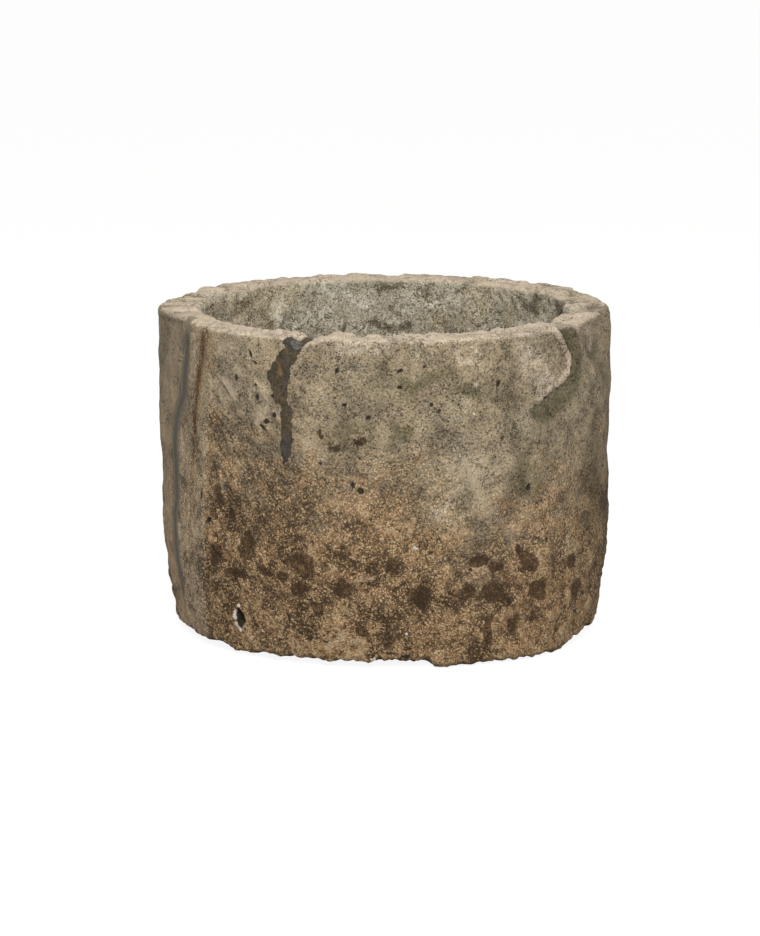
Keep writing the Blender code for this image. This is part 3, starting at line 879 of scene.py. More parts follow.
def broken_edges(bearing, height, radius, stone):
    """How far the ragged base edge and rim lift or drop a point."""
    around = outward_at(bearing)
    lift = 0.0
    if height < 0.05 and radius > OUTER_RADIUS - BASE_TAPER - FLAT_FOOT_INSET:
        uneven = 0.5 * wander(around, 0.060, 4.4) + 0.7 * wander(around, 0.024, 7.9)
        near = 1.0 - smooth_share(height / 0.05)
        foot = smooth_share((radius - OUTER_RADIUS + BASE_TAPER + FLAT_FOOT_INSET) / FLAT_FOOT_INSET)
        lift += near * foot * stone.edge_break * (uneven + 0.15)
        for chip_bearing, half_angle, depth in BASE_CHIPS:
            chip = smooth_share(1.0 - angle_between(bearing, chip_bearing) / half_angle)
            lift += near * foot * depth * chip
    if height > HEIGHT - 0.03:
        chipped = 0.6 * wander(around, 0.085, 2.2) + 0.5 * wander(around, 0.035, 5.5)
        near_rim = smooth_share((height - HEIGHT + 0.03) / 0.03)
        lift += 0.60 * stone.edge_break * (chipped - 0.30) * near_rim
        for start, end, depth in RIM_CHIPS:
            past = (bearing - start) % 360.0
            lift -= depth * near_rim * smooth_share(past / 1.6) * smooth_share((end - start - past) / 1.6)
    return lift


def within_box(point):
    """The point, kept inside the solid's box."""
    low, high = cad_box
    return Vector(min(max(value, least), most) for value, least, most in zip(point, low, high))


def turned_mesh(stone):
    """The profile spun once round Z, worked and weathered, as a closed mesh."""
    shape = bmesh.new()
    corners = [shape.verts.new((radius, 0.0, height)) for radius, height in trough_profile(stone.row_height)]
    edges = [shape.edges.new(pair) for pair in zip(corners, corners[1:])]
    bmesh.ops.spin(
        shape,
        geom=corners + edges,
        cent=(0.0, 0.0, 0.0),
        axis=(0.0, 0.0, 1.0),
        angle=math.tau,
        steps=stone.turn_steps,
        use_merge=True,
    )
    bmesh.ops.remove_doubles(shape, verts=shape.verts, dist=0.000001)
    bmesh.ops.recalc_face_normals(shape, faces=shape.faces)
    true_points = [vertex.co.copy() for vertex in shape.verts]
    flake = flake_centre()
    for vertex in shape.verts:
        vertex.co = worked(vertex.co, flake)
    shape.normal_update()
    for vertex, true_point in zip(shape.verts, true_points):
        radius = math.hypot(true_point.x, true_point.y)
        if radius < 1e-6:
            continue
        bearing = bearing_of(true_point)
        outward = weather(bearing, true_point.z, radius, vertex.co, stone)
        moved = vertex.co + vertex.normal * outward
        moved.z += broken_edges(bearing, true_point.z, radius, stone)
        vertex.co = within_box(moved)
    mesh = bpy.data.meshes.new("turned_stone")
    shape.to_mesh(mesh)
    shape.free()
    return mesh


# Cutters and mends


def ragged(outline, depth, seed):
    """The outline with more points, each moved a little off the straight line."""
    points = []
    count = len(outline)
    for index, start in enumerate(outline):
        end = outline[(index + 1) % count]
        along = Vector(end) - Vector(start)
        aside = Vector((-along.y, along.x)).normalized()
        for across, up in run_between(start, end, 0.0018):
            here = Vector((across, up))
            shift = depth * noise.noise(Vector((across, up, seed)) * 130.0)
            shift += 0.7 * depth * noise.noise(Vector((across, up, seed)) * 330.0)
            points.append(here + aside * shift)
    return points


def inset_outline(outline, gap):
    """The outline moved in by a gap. It runs anticlockwise, so inside is on its left."""
    moved = []
    count = len(outline)
    for index, here in enumerate(outline):
        before, after = Vector(outline[index - 1]), Vector(outline[(index + 1) % count])
        arriving = (Vector(here) - before).normalized()
        leaving = (after - Vector(here)).normalized()
        left_in = Vector((-arriving.y, arriving.x))
        left_out = Vector((-leaving.y, leaving.x))
        moved.append(Vector(here) + (left_in + left_out) * (gap / max(0.5, 1.0 + left_in.dot(left_out))))
    return moved


def slab(outline, depth, place):
    """A flat outline with a thickness, from the place's origin inwards and as far outwards."""
    shape = bmesh.new()
    face = shape.faces.new([shape.verts.new((across, up, -depth)) for across, up in outline])
    made = bmesh.ops.extrude_face_region(shape, geom=[face])["geom"]
    top = [item for item in made if isinstance(item, bmesh.types.BMVert)]
    bmesh.ops.translate(shape, vec=(0.0, 0.0, 2.0 * depth), verts=top)
    bmesh.ops.triangulate(shape, faces=shape.faces)
    bmesh.ops.recalc_face_normals(shape, faces=shape.faces)
    bmesh.ops.transform(shape, matrix=place, verts=shape.verts)
    mesh = bpy.data.meshes.new("slab")
    shape.to_mesh(mesh)
    shape.free()
    return mesh


def with_headroom(outline):
    """The outline with its two ends, which lie on the rim, raised clear of the stone."""
    (first, _), *middle, (last, _) = outline
    return [(first, MEND_HEADROOM), *middle, (last, MEND_HEADROOM)]


def front_crack_frame():
    face = wall_face(FRONT_CRACK_BEARING, HEIGHT - FRONT_CRACK_FACE_DROP)
    return facing_frame(FRONT_CRACK_BEARING, Vector((face.x, face.y, HEIGHT)))


def front_crack_slab(gap, depth):
    outline = inset_outline(ragged(with_headroom(FRONT_CRACK_OUTLINE), depth, 1.0), gap)
    return slab(outline, FRONT_CRACK_DEPTH - gap, front_crack_frame())


def rim_slot_slab(gap):
    left = RIM_SLOT_OFFSET - RIM_SLOT_HALF_WIDTH
    right = RIM_SLOT_OFFSET + RIM_SLOT_HALF_WIDTH
    top = MEND_HEADROOM + RIM_SLOT_HALF_WIDTH
    outline = (
        (left, top),
        (left, -RIM_SLOT_SHOULDER),
        (RIM_SLOT_OFFSET, -RIM_SLOT_DROP),
        (right, -RIM_SLOT_SHOULDER),
        (right, top),
    )
    return slab(inset_outline(outline, gap), WALL_THICKNESS + FRONT_CRACK_DEPTH, front_crack_frame())


def left_crack_slab(gap, depth):
    towards_back = [(across - half, up) for across, up, half in LEFT_CRACK_LINE]
    towards_front = [(across + half, up) for across, up, half in LEFT_CRACK_LINE]
    outline = ragged(with_headroom(towards_back + towards_front[::-1]), depth, 2.0)
    face = outward_at(FACET_BEARING) * facet_distance(HEIGHT / 2)
    place = facing_frame(FACET_BEARING, Vector((face.x, face.y, HEIGHT)))
    return slab(inset_outline(outline, gap), LEFT_CRACK_DEPTH + FACET_LEAN / 2 - gap, place)


def plug_mesh(gap):
    """The pale plug at the crack's head: a short pin set into the rim's outer edge."""
    shape = bmesh.new()
    radius = PLUG_RADIUS - gap
    bmesh.ops.create_cone(
        shape, cap_ends=True, segments=40, radius1=radius, radius2=radius, depth=2.0 * (PLUG_DEPTH - gap)
    )
    place = Matrix.Translation((PLUG_OFFSET, -PLUG_BELOW_RIM, 0.0))
    tilt = Matrix.Rotation(math.radians(-PLUG_TILT), 4, "X")
    bmesh.ops.transform(shape, matrix=front_crack_frame() @ place @ tilt, verts=shape.verts)
    mesh = bpy.data.meshes.new("plug")
    shape.to_mesh(mesh)
    shape.free()
    return mesh


# Room kept round a placed pit, the front mend, the pocket and a scattered pit
PIT_ROOM = 0.024
MEND_ROOM = 0.050
VUG_ROOM = 0.030
SMALL_PIT_ROOM = 0.014


def scattered_pits():
    """Small pits all round the face, none of which runs into another or into a mend."""
    draw = random.Random(11)
    taken = [(pit[0], pit[1], PIT_ROOM) for pit in PITS]
    taken += [(FRONT_CRACK_BEARING, HEIGHT + up, MEND_ROOM) for _, up in FRONT_CRACK_OUTLINE[::2]]
    taken.append((VUG_BEARING, VUG_HEIGHT, VUG_ROOM))
    found = []
    while len(found) < SCATTERED_PITS:
        bearing, height = draw.uniform(-180.0, 180.0), 0.02 + 0.43 * draw.random() ** 1.25
        size, shape, tilt = draw.uniform(0.0012, 0.0030), draw.uniform(0.6, 1.7), draw.uniform(-60.0, 60.0)
        if facet_share(bearing, height) > 0.0:
            continue
        if all(spot_distance(bearing, height, spot) > spot[2] for spot in taken):
            taken.append((bearing, height, SMALL_PIT_ROOM))
            found.append((bearing, height, size * shape**0.5, size / shape**0.5, size * 1.1, tilt))
    return found


def hollow(shape, bearing, height, half_sizes, tilt, subdivisions):
    """Adds one uneven pocket to a cutter, centred on the face."""
    made = bmesh.ops.create_icosphere(shape, subdivisions=subdivisions, radius=1.0)["verts"]
    for vertex in made:
        uneven = 0.40 * wander(vertex.co, 0.9, bearing) + 0.15 * wander(vertex.co, 0.35, height * 50.0)
        vertex.co *= 1.0 + uneven
    bmesh.ops.scale(shape, vec=half_sizes, verts=made)
    turned = Matrix.Rotation(math.radians(tilt), 4, "Z")
    place = facing_frame(bearing, wall_face(bearing, height)) @ turned
    bmesh.ops.transform(shape, matrix=place, verts=made)


def hollows_mesh(small_pits):
    """The pocket low on the front and every pit, as one cutter."""
    shape = bmesh.new()
    size = (VUG_WIDER * VUG_HALF_WIDTH, VUG_WIDER * VUG_HALF_HEIGHT, VUG_DEPTH)
    hollow(shape, VUG_BEARING, VUG_HEIGHT, size, VUG_TILT, 4)
    for bearing, height, half_width, half_height, depth, tilt in PITS:
        hollow(shape, bearing, height, (half_width, half_height, depth), tilt, 2)
    for bearing, height, half_width, half_height, depth, tilt in small_pits:
        hollow(shape, bearing, height, (half_width, half_height, depth), tilt, 1)
    mesh = bpy.data.meshes.new("hollows")
    shape.to_mesh(mesh)
    shape.free()
    return mesh


def linked(name, mesh):
    obj = bpy.data.objects.new(name, mesh)
    bpy.context.scene.collection.objects.link(obj)
    return obj


def carve(obj, steps):
    """Applies Booleans to an object, one for each operation and mesh."""
    helpers = []
    for operation, mesh in steps:
        helper = linked("helper", mesh)
        modifier = obj.modifiers.new(operation, "BOOLEAN")
        modifier.operation = operation
        modifier.solver = "EXACT"
        modifier.object = helper
        helpers.append(helper)
    bpy.context.view_layer.update()
    graph = bpy.context.evaluated_depsgraph_get()
    carved = bpy.data.meshes.new_from_object(obj.evaluated_get(graph))
    obj.modifiers.clear()
    obj.data = carved
    for helper in helpers:
        bpy.data.objects.remove(helper)
    return obj


def dressed(obj, sharp_degrees):
    """Smooth faces with sharp edges where two faces meet at more than an angle."""
    shape = bmesh.new()
    shape.from_mesh(obj.data)
    bmesh.ops.remove_doubles(shape, verts=shape.verts, dist=0.00002)
    bmesh.ops.triangulate(shape, faces=[face for face in shape.faces if len(face.verts) > 4])
    for face in shape.faces:
        face.smooth = True
    for edge in shape.edges:
        edge.smooth = len(edge.link_faces) != 2 or edge.calc_face_angle() < math.radians(sharp_degrees)
    shape.to_mesh(obj.data)
    shape.free()
    return obj


def recessed(mesh, bearing, half_angle, depth, length, seed):
    """A copy of the stone whose face lies deeper near a bearing, for a mend to be dressed to."""
    copy = mesh.copy()
    for vertex, source in zip(copy.vertices, mesh.vertices):
        if angle_between(bearing_of(source.co), bearing) < half_angle:
            uneven = 1.0 + 0.8 * wander(source.co, length, seed)
            vertex.co = source.co - source.normal * (depth * uneven)
    return copy


# Stains, painted highlights and painted shade, stored as one number each at every point


def strip_at(up):
    """Middle and half width of the left crack's strip, at a distance up from the rim."""
    for (start, high, start_half), (end, low, end_half) in zip(LEFT_CRACK_LINE, LEFT_CRACK_LINE[1:]):
        if up >= low:
            share = min(1.0, (high - up) / (high - low))
            return start + (end - start) * share, start_half + (end_half - start_half) * share
    return LEFT_CRACK_LINE[-1][0], 0.0


def pit_share(bearing, height, pits):
    """1 in a pit, fading out just past its edge."""
    deepest = 0.0
    for pit_bearing, pit_height, half_width, half_height, _, tilt in pits:
        if angle_between(bearing, pit_bearing) > 4.0:
            continue
        across = math.radians(bearing - pit_bearing) * OUTER_RADIUS
        up, turn = height - pit_height, math.radians(tilt)
        along = (across * math.cos(turn) + up * math.sin(turn)) / half_width
        aside = (up * math.cos(turn) - across * math.sin(turn)) / half_height
        deepest = max(deepest, smooth_share((1.20 - math.hypot(along, aside)) / 0.5))
    return deepest


def strayed(point, bearing, share=1.0):
    """A bearing and a height near a point's own, moved about so that a stain's edge isn't an oval."""
    aside = 0.026 * wander(point, 0.034, 21.3) + 0.014 * wander(point, 0.014, 24.9)
    up = 0.026 * wander(point, 0.034, 27.1) + 0.014 * wander(point, 0.014, 30.7)
    return bearing + math.degrees(share * aside / OUTER_RADIUS), point.z + share * up


def pocket_share(bearing, height, radius, outer):
    """1 deep in the natural pocket, where its shade is painted."""
    if angle_between(bearing, VUG_BEARING) > 2.0 or abs(height - VUG_HEIGHT) > 0.017:
        return 0.0
    taper = BASE_TAPER * max(0.0, 1.0 - height / BASE_TAPER_HEIGHT) ** 2
    return smooth_share((outer - taper - radius - 0.0025) / 0.003)


def marks_at(point, pits):
    """Every mark's share, from 0 to 1, at a finished point of the stone: stains, painted highlights and
    painted shade.
    """
    bearing, height = bearing_of(point), point.z
    stray = strayed(point, bearing)
    radius = math.hypot(point.x, point.y)
    inner = oval_radius(bearing) * INNER_RADIUS / OUTER_RADIUS
    outer = plan_scale(bearing, height) * OUTER_RADIUS
    inside = smooth_share((0.5 * (inner + outer) - radius) / 0.012 + 0.5)
    if height < FLOOR_THICKNESS * 0.6:
        inside = 0.0
    outside = 1.0 - inside
    facing = outward_at(FACET_BEARING)
    middle, half = strip_at(height - HEIGHT)
    past_strip = Vector((-facing.y, facing.x, 0.0)).dot(point) - middle - half
    facet = facet_share(bearing, height)
    strip = smooth_share(1.0 - max(past_strip, -past_strip - 2.0 * half) / 0.009)
    strip *= facet * smooth_share((HEIGHT - 0.012 - height) / 0.02)
    side = facet * (1.0 - smooth_share(past_strip / 0.007))
    beside = facet * smooth_share(past_strip / 0.007)
    # Top band of the rim: pale from wear, and with a painted highlight
    rim = smooth_share((height - HEIGHT + rim_drop(bearing) + 0.010) / 0.008)
    soil = min(1.0, max(0.0, 0.5 + (level_at(bearing, SOIL_LINE) - height) / 0.36))
    rust = patch_share(*stray, RUST)
    corner = 1.0
    if angle_between(bearing, RUST_CORNER_BEARING) < RUST_CORNER_HALF_ANGLE:
        corner = line_distance(bearing, height, RUST_CORNER)
    upper = smooth_share((height - 0.22) / 0.20)
    arris = reach_share(abs(corner - 0.005), 0.034) * (0.45 + 0.55 * upper)
    arris *= smooth_share((height - 0.04) / 0.12)
    core = reach_share(abs(corner - 0.001), 0.018) * (0.40 + 0.60 * upper)
    core *= smooth_share((height - 0.10) / 0.10)
    below_rim = smooth_share((HEIGHT - 0.006 - height) / 0.012)
    arris *= below_rim
    core *= below_rim
    blotch = patch_share(*strayed(point, bearing, 0.32), BLOTCHES)
    lime = 0.0
    for spot in LIME:
        if angle_between(bearing, spot[0]) < 3.0:
            lime = max(lime, spot[3] * reach_share(spot_distance(bearing, height, spot), 1.5 * spot[2]))
    # Painted shade: dark in the pits and deep in the pocket, with dark lines along the fissures
    pit = max(pit_share(bearing, height, pits), pocket_share(bearing, height, radius, outer))
    for half_width, depth, line in FISSURES:
        broken = depth / 0.0030 * (0.45 + 1.2 * wander(point, 0.018, 33.3))
        pit = max(pit, broken * line_share(bearing, height, line, half_width))
    # Green damp, and painted shade on the right of the face
    damp_and_shade = patch_share(*stray, DAMP_AND_SHADE) * outside
    pale = patch_share(*stray, PALE) * outside
    # Round the flake: a painted highlight along the raised side of its edge and on its ridge, a dark line of
    # painted shade in the edge, and painted shade over the sunken flake, darkest just past the step
    edge = flake_edge_distance(bearing, height)
    if edge > -0.03:
        near_rim = smooth_share((height - 0.36) / 0.04)
        pit = max(pit, 0.35 * reach_share(abs(edge - 0.003), 0.006))
        pale = max(pale, 0.8 * reach_share(abs(edge + 0.006), 0.012) * near_rim)
        pale = max(pale, 0.3 * reach_share(abs(line_distance(bearing, height, FLAKE_RIDGE)), 0.016))
        damp_and_shade = max(damp_and_shade, 0.85 * smooth_share(edge / 0.006) * smooth_share(1.0 - (edge - 0.020) / 0.030))
        damp_and_shade = max(damp_and_shade, 0.15 * smooth_share(edge / 0.02) * smooth_share(1.0 - edge / 0.16))
    if inside > 0.0:
        damp_and_shade = max(damp_and_shade, inside * patch_share(*stray, BASIN_DARK))
        pale = max(pale, inside * patch_share(*stray, BASIN_PALE))
    return {
        "inside": inside,
        "facet": side * outside,
        "beside": beside * outside,
        "strip": strip * outside,
        "rim": rim,
        "soil": soil * outside,
        "damp_and_shade": damp_and_shade,
        "pale": pale,
        "smooth": patch_share(*stray, SMOOTH) * outside,
        "rust": max(rust, arris) * outside,
        "core": core * outside,
        "blotch": blotch * outside,
        "lime": lime * outside,
        "pit": pit * outside,
        # Painted shadow under the broken base edge
        "foot": smooth_share((0.020 - height) / 0.020),
        # Painted light, lighter towards the base
        "painted_base_light": smooth_share((0.085 - height) / 0.060) * outside,
        # Painted shade in the hollows of the lumps and the hack marks
        "hollow_shade": smooth_share(0.42 - 0.60 * lumps_at(point) + 0.9 * hack_at(bearing, height)),
    }


def strip_marks_at(point):
    """How near a point of the grey strip is to its sides, and to the rim."""
    facing = outward_at(FACET_BEARING)
    middle, half = strip_at(point.z - HEIGHT)
    aside = abs(Vector((-facing.y, facing.x, 0.0)).dot(point) - middle) / max(half, 0.004)
    return {"verge": min(1.0, aside), "head": smooth_share((point.z - HEIGHT + 0.032) / 0.02)}


def fill_marks_at(point):
    """Shares of the notch right of the plug, of slate mortar and of rust, at a point of the dark mortar."""
    place = front_crack_frame().inverted() @ point
    across, up = place.x, place.y
    middle = -0.009 + 0.012 * smooth_share((-0.085 - up) / 0.02)
    slate = smooth_share((across - middle) / 0.010) * smooth_share((-0.034 - up) / 0.012)
    rusty = reach_share(math.hypot(across + 0.014 + 0.35 * (up + 0.050), 0.45 * (up + 0.050)), 0.014)
    return {
        "notch": smooth_share((across - 0.0195) / 0.004),
        "slate": max(0.85 * slate, smooth_share((-0.130 - up) / 0.030)),
        "rusty": rusty,
    }


def paint(obj, marks_of):
    """Stores every mark's share on the object's points."""
    mesh = obj.data
    shares = [marks_of(vertex.co) for vertex in mesh.vertices]
    for name in shares[0]:
        layer = mesh.attributes.new(name, "FLOAT", "POINT")
        layer.data.foreach_set("value", [share[name] for share in shares])


# Finishes

DULL_SHINE = 0.25

# Sizes of the stone's noises and cells, and the height of its relief
BROAD_SIZE = 0.100
PATCH_SIZE = 0.036
CLUMP_SIZE = 0.0140
GRIT_SIZE = 0.0034
SAND_SIZE = 0.0019
PINHOLE_SPACING = 0.0070
FLECK_SPACING = 0.0036
HAIRLINE_SIZE = 0.0150
CRUST_CELL = 0.022
STONE_RELIEF = 0.0036

# Colours of the stone that no setting holds, and of the painted shade under its base and in its pits
# Darkest tone of the bare face: dark grain and pinholes, and painted shade in pits and hollows
DEEP_HOLLOW = (0.075, 0.054, 0.033)
DRY_SOIL = (0.540, 0.400, 0.238)
PALE_FLECK = (0.600, 0.480, 0.325)
# Painted shadow under the broken base edge
FOOT_SHADOW = (0.050, 0.030, 0.016)
# Painted shade in the pits and the pocket
PIT_SHADE = (0.030, 0.023, 0.016)
BASIN_TONES = (
    (0.10, (0.105, 0.088, 0.058)),
    (0.34, (0.280, 0.246, 0.178)),
    (0.54, (0.455, 0.415, 0.312)),
    (0.74, (0.600, 0.566, 0.468)),
    (0.92, (0.760, 0.730, 0.640)),
)

# Tints that multiply a colour
COOL_TINT = (0.94, 0.98, 1.00)
SMOOTH_TINT = (1.12, 1.15, 1.24)
# Also tints the painted shade on the right of the face and over the flake
DAMP_AND_SHADE_TINT = (0.47, 0.50, 0.44)
BASIN_TINT = (0.99, 0.93, 0.84)
SIDE_TINT = (0.88, 0.87, 0.88)
BESIDE_TINT = (1.08, 1.05, 1.03)
STRIP_TINT = (0.62, 0.66, 0.72)
RUST_TINT = (0.97, 0.85, 0.71)
RUST_CORE_TINT = (0.34, 0.27, 0.21)

# Sizes in the mortar, and the height of its relief
MORTAR_CLOUD_SIZE = 0.014
MORTAR_GRIT_SIZE = 0.0046
STREAK_SIZE = 0.0065
STREAK_STRETCH = (1.0, 1.0, 0.25)
STREAK_TURN = (0.0, 18.0, 0.0)
SLATE_RING_RADIUS = (0.022, 0.015)
MORTAR_RELIEF = 0.0050


class Finish:
    """A procedural finish in the making: most calls add a node or two and give back an output."""

    def __init__(self, name):
        self.material = bpy.data.materials.new(name)
        self.material.use_nodes = True
        self.tree = self.material.node_tree
        self.shader = self.tree.nodes["Principled BSDF"]
        self.place = self.add("ShaderNodeTexCoord").outputs["Object"]

    def add(self, kind, **settings):
        node = self.tree.nodes.new(kind)
        for setting, value in settings.items():
            setattr(node, setting, value)
        return node

    def join(self, value, socket):
        if isinstance(value, bpy.types.NodeSocket):
            self.tree.links.new(value, socket)
        else:
            socket.default_value = value

    def stretched(self, scale, turn):
        """The place, turned and then scaled, for a pattern that runs one way."""
        node = self.add("ShaderNodeMapping")
        self.join(self.place, node.inputs["Vector"])
        node.inputs["Rotation"].default_value = [math.radians(angle) for angle in turn]
        node.inputs["Scale"].default_value = scale
        return node.outputs["Vector"]

    def grain(self, size, detail, roughness=0.5, place=None, warp=0.0):
        """Noise whose features are about a size across, spread over 0 to 1."""
        node = self.add("ShaderNodeTexNoise")
        self.join(place or self.place, node.inputs["Vector"])
        node.inputs["Scale"].default_value = 1.0 / size
        node.inputs["Detail"].default_value = detail
        node.inputs["Roughness"].default_value = roughness
        node.inputs["Distortion"].default_value = warp
        return node.outputs["Fac"]

    def cells(self, size, place=None):
        """Distance from the middle of scattered cells, and a random number for each."""
        node = self.add("ShaderNodeTexVoronoi")
        self.join(place or self.place, node.inputs["Vector"])
        node.inputs["Scale"].default_value = 1.0 / size
        split = self.add("ShaderNodeSeparateColor")
        self.join(node.outputs["Color"], split.inputs["Color"])
        return node.outputs["Distance"], split.outputs["Red"]

    def mark(self, name):
        return self.add("ShaderNodeAttribute", attribute_name=name).outputs["Fac"]

    def maths(self, operation, first, second=0.0, third=0.0, clamp=False):
        node = self.add("ShaderNodeMath", operation=operation, use_clamp=clamp)
        for value, socket in zip((first, second, third), node.inputs):
            self.join(value, socket)
        return node.outputs["Value"]

    def plus(self, first, share, second):
        """First plus a share of second."""
        return self.maths("MULTIPLY_ADD", second, share, first)

    def between(self, value, low, high):
        """0 below low, 1 above high, and a smooth step between."""
        node = self.add("ShaderNodeMapRange", interpolation_type="SMOOTHSTEP")
        self.join(value, node.inputs["Value"])
        node.inputs["From Min"].default_value = low
        node.inputs["From Max"].default_value = high
        return node.outputs["Result"]

    def straight(self, value, low, high, start, end):
        """Low to high made start to end in a straight line, and held at both ends."""
        node = self.add("ShaderNodeMapRange")
        for socket, number in zip(node.inputs, (value, low, high, start, end)):
            self.join(number, socket)
        return node.outputs["Result"]

    def blend(self, share, first, second, way="MIX"):
        node = self.add("ShaderNodeMix", data_type="RGBA", blend_type=way)
        self.join(share, node.inputs["Factor"])
        for value, socket in ((first, node.inputs[6]), (second, node.inputs[7])):
            self.join(value if isinstance(value, bpy.types.NodeSocket) else (*value, 1.0), socket)
        return node.outputs[2]

    def ramp(self, value, stops):
        """Colours eased along a value: pairs of a position and a colour."""
        node = self.add("ShaderNodeValToRGB")
        self.join(value, node.inputs["Fac"])
        elements = node.color_ramp.elements
        for index, (position, colour) in enumerate(stops):
            element = elements[index] if index < 2 else elements.new(position)
            element.position = position
            element.color = (*colour, 1.0)
        return node.outputs["Color"]

    def crackle(self, size, place):
        """Distance from the edges of cells about a size across, in shares of a cell."""
        node = self.add("ShaderNodeTexVoronoi", feature="DISTANCE_TO_EDGE")
        self.join(place, node.inputs["Vector"])
        node.inputs["Scale"].default_value = 1.0 / size
        return node.outputs["Distance"]

    def nudged(self, size, distance):
        """The place, moved about by noise of a size by up to a distance."""
        node = self.add("ShaderNodeTexNoise")
        self.join(self.place, node.inputs["Vector"])
        node.inputs["Scale"].default_value = 1.0 / size
        node.inputs["Detail"].default_value = 2.0
        move = self.add("ShaderNodeVectorMath", operation="MULTIPLY_ADD")
        self.join(node.outputs["Color"], move.inputs[0])
        move.inputs[1].default_value = (distance, distance, distance)
        self.join(self.place, move.inputs[2])
        return move.outputs["Vector"]

    def toned(self, colour, amount):
        """The colour made lighter or darker by an amount that is 1 for no change."""
        node = self.add("ShaderNodeVectorMath", operation="SCALE")
        self.join(colour, node.inputs[0])
        self.join(amount, node.inputs["Scale"])
        return node.outputs["Vector"]

    def relief(self, height, distance, strength):
        node = self.add("ShaderNodeBump")
        node.inputs["Strength"].default_value = strength
        node.inputs["Distance"].default_value = distance
        self.join(height, node.inputs["Height"])
        return node.outputs["Normal"]

    def done(self, colour, roughness, normal):
        self.join(colour, self.shader.inputs["Base Color"])
        self.join(roughness, self.shader.inputs["Roughness"])
        self.join(normal, self.shader.inputs["Normal"])
        self.shader.inputs["Specular IOR Level"].default_value = DULL_SHINE
        return self.material


def shade(colour, amount):
    """A colour made lighter or darker by an amount that is 1 for no change."""
    return tuple(min(1.0, part * amount) for part in colour)


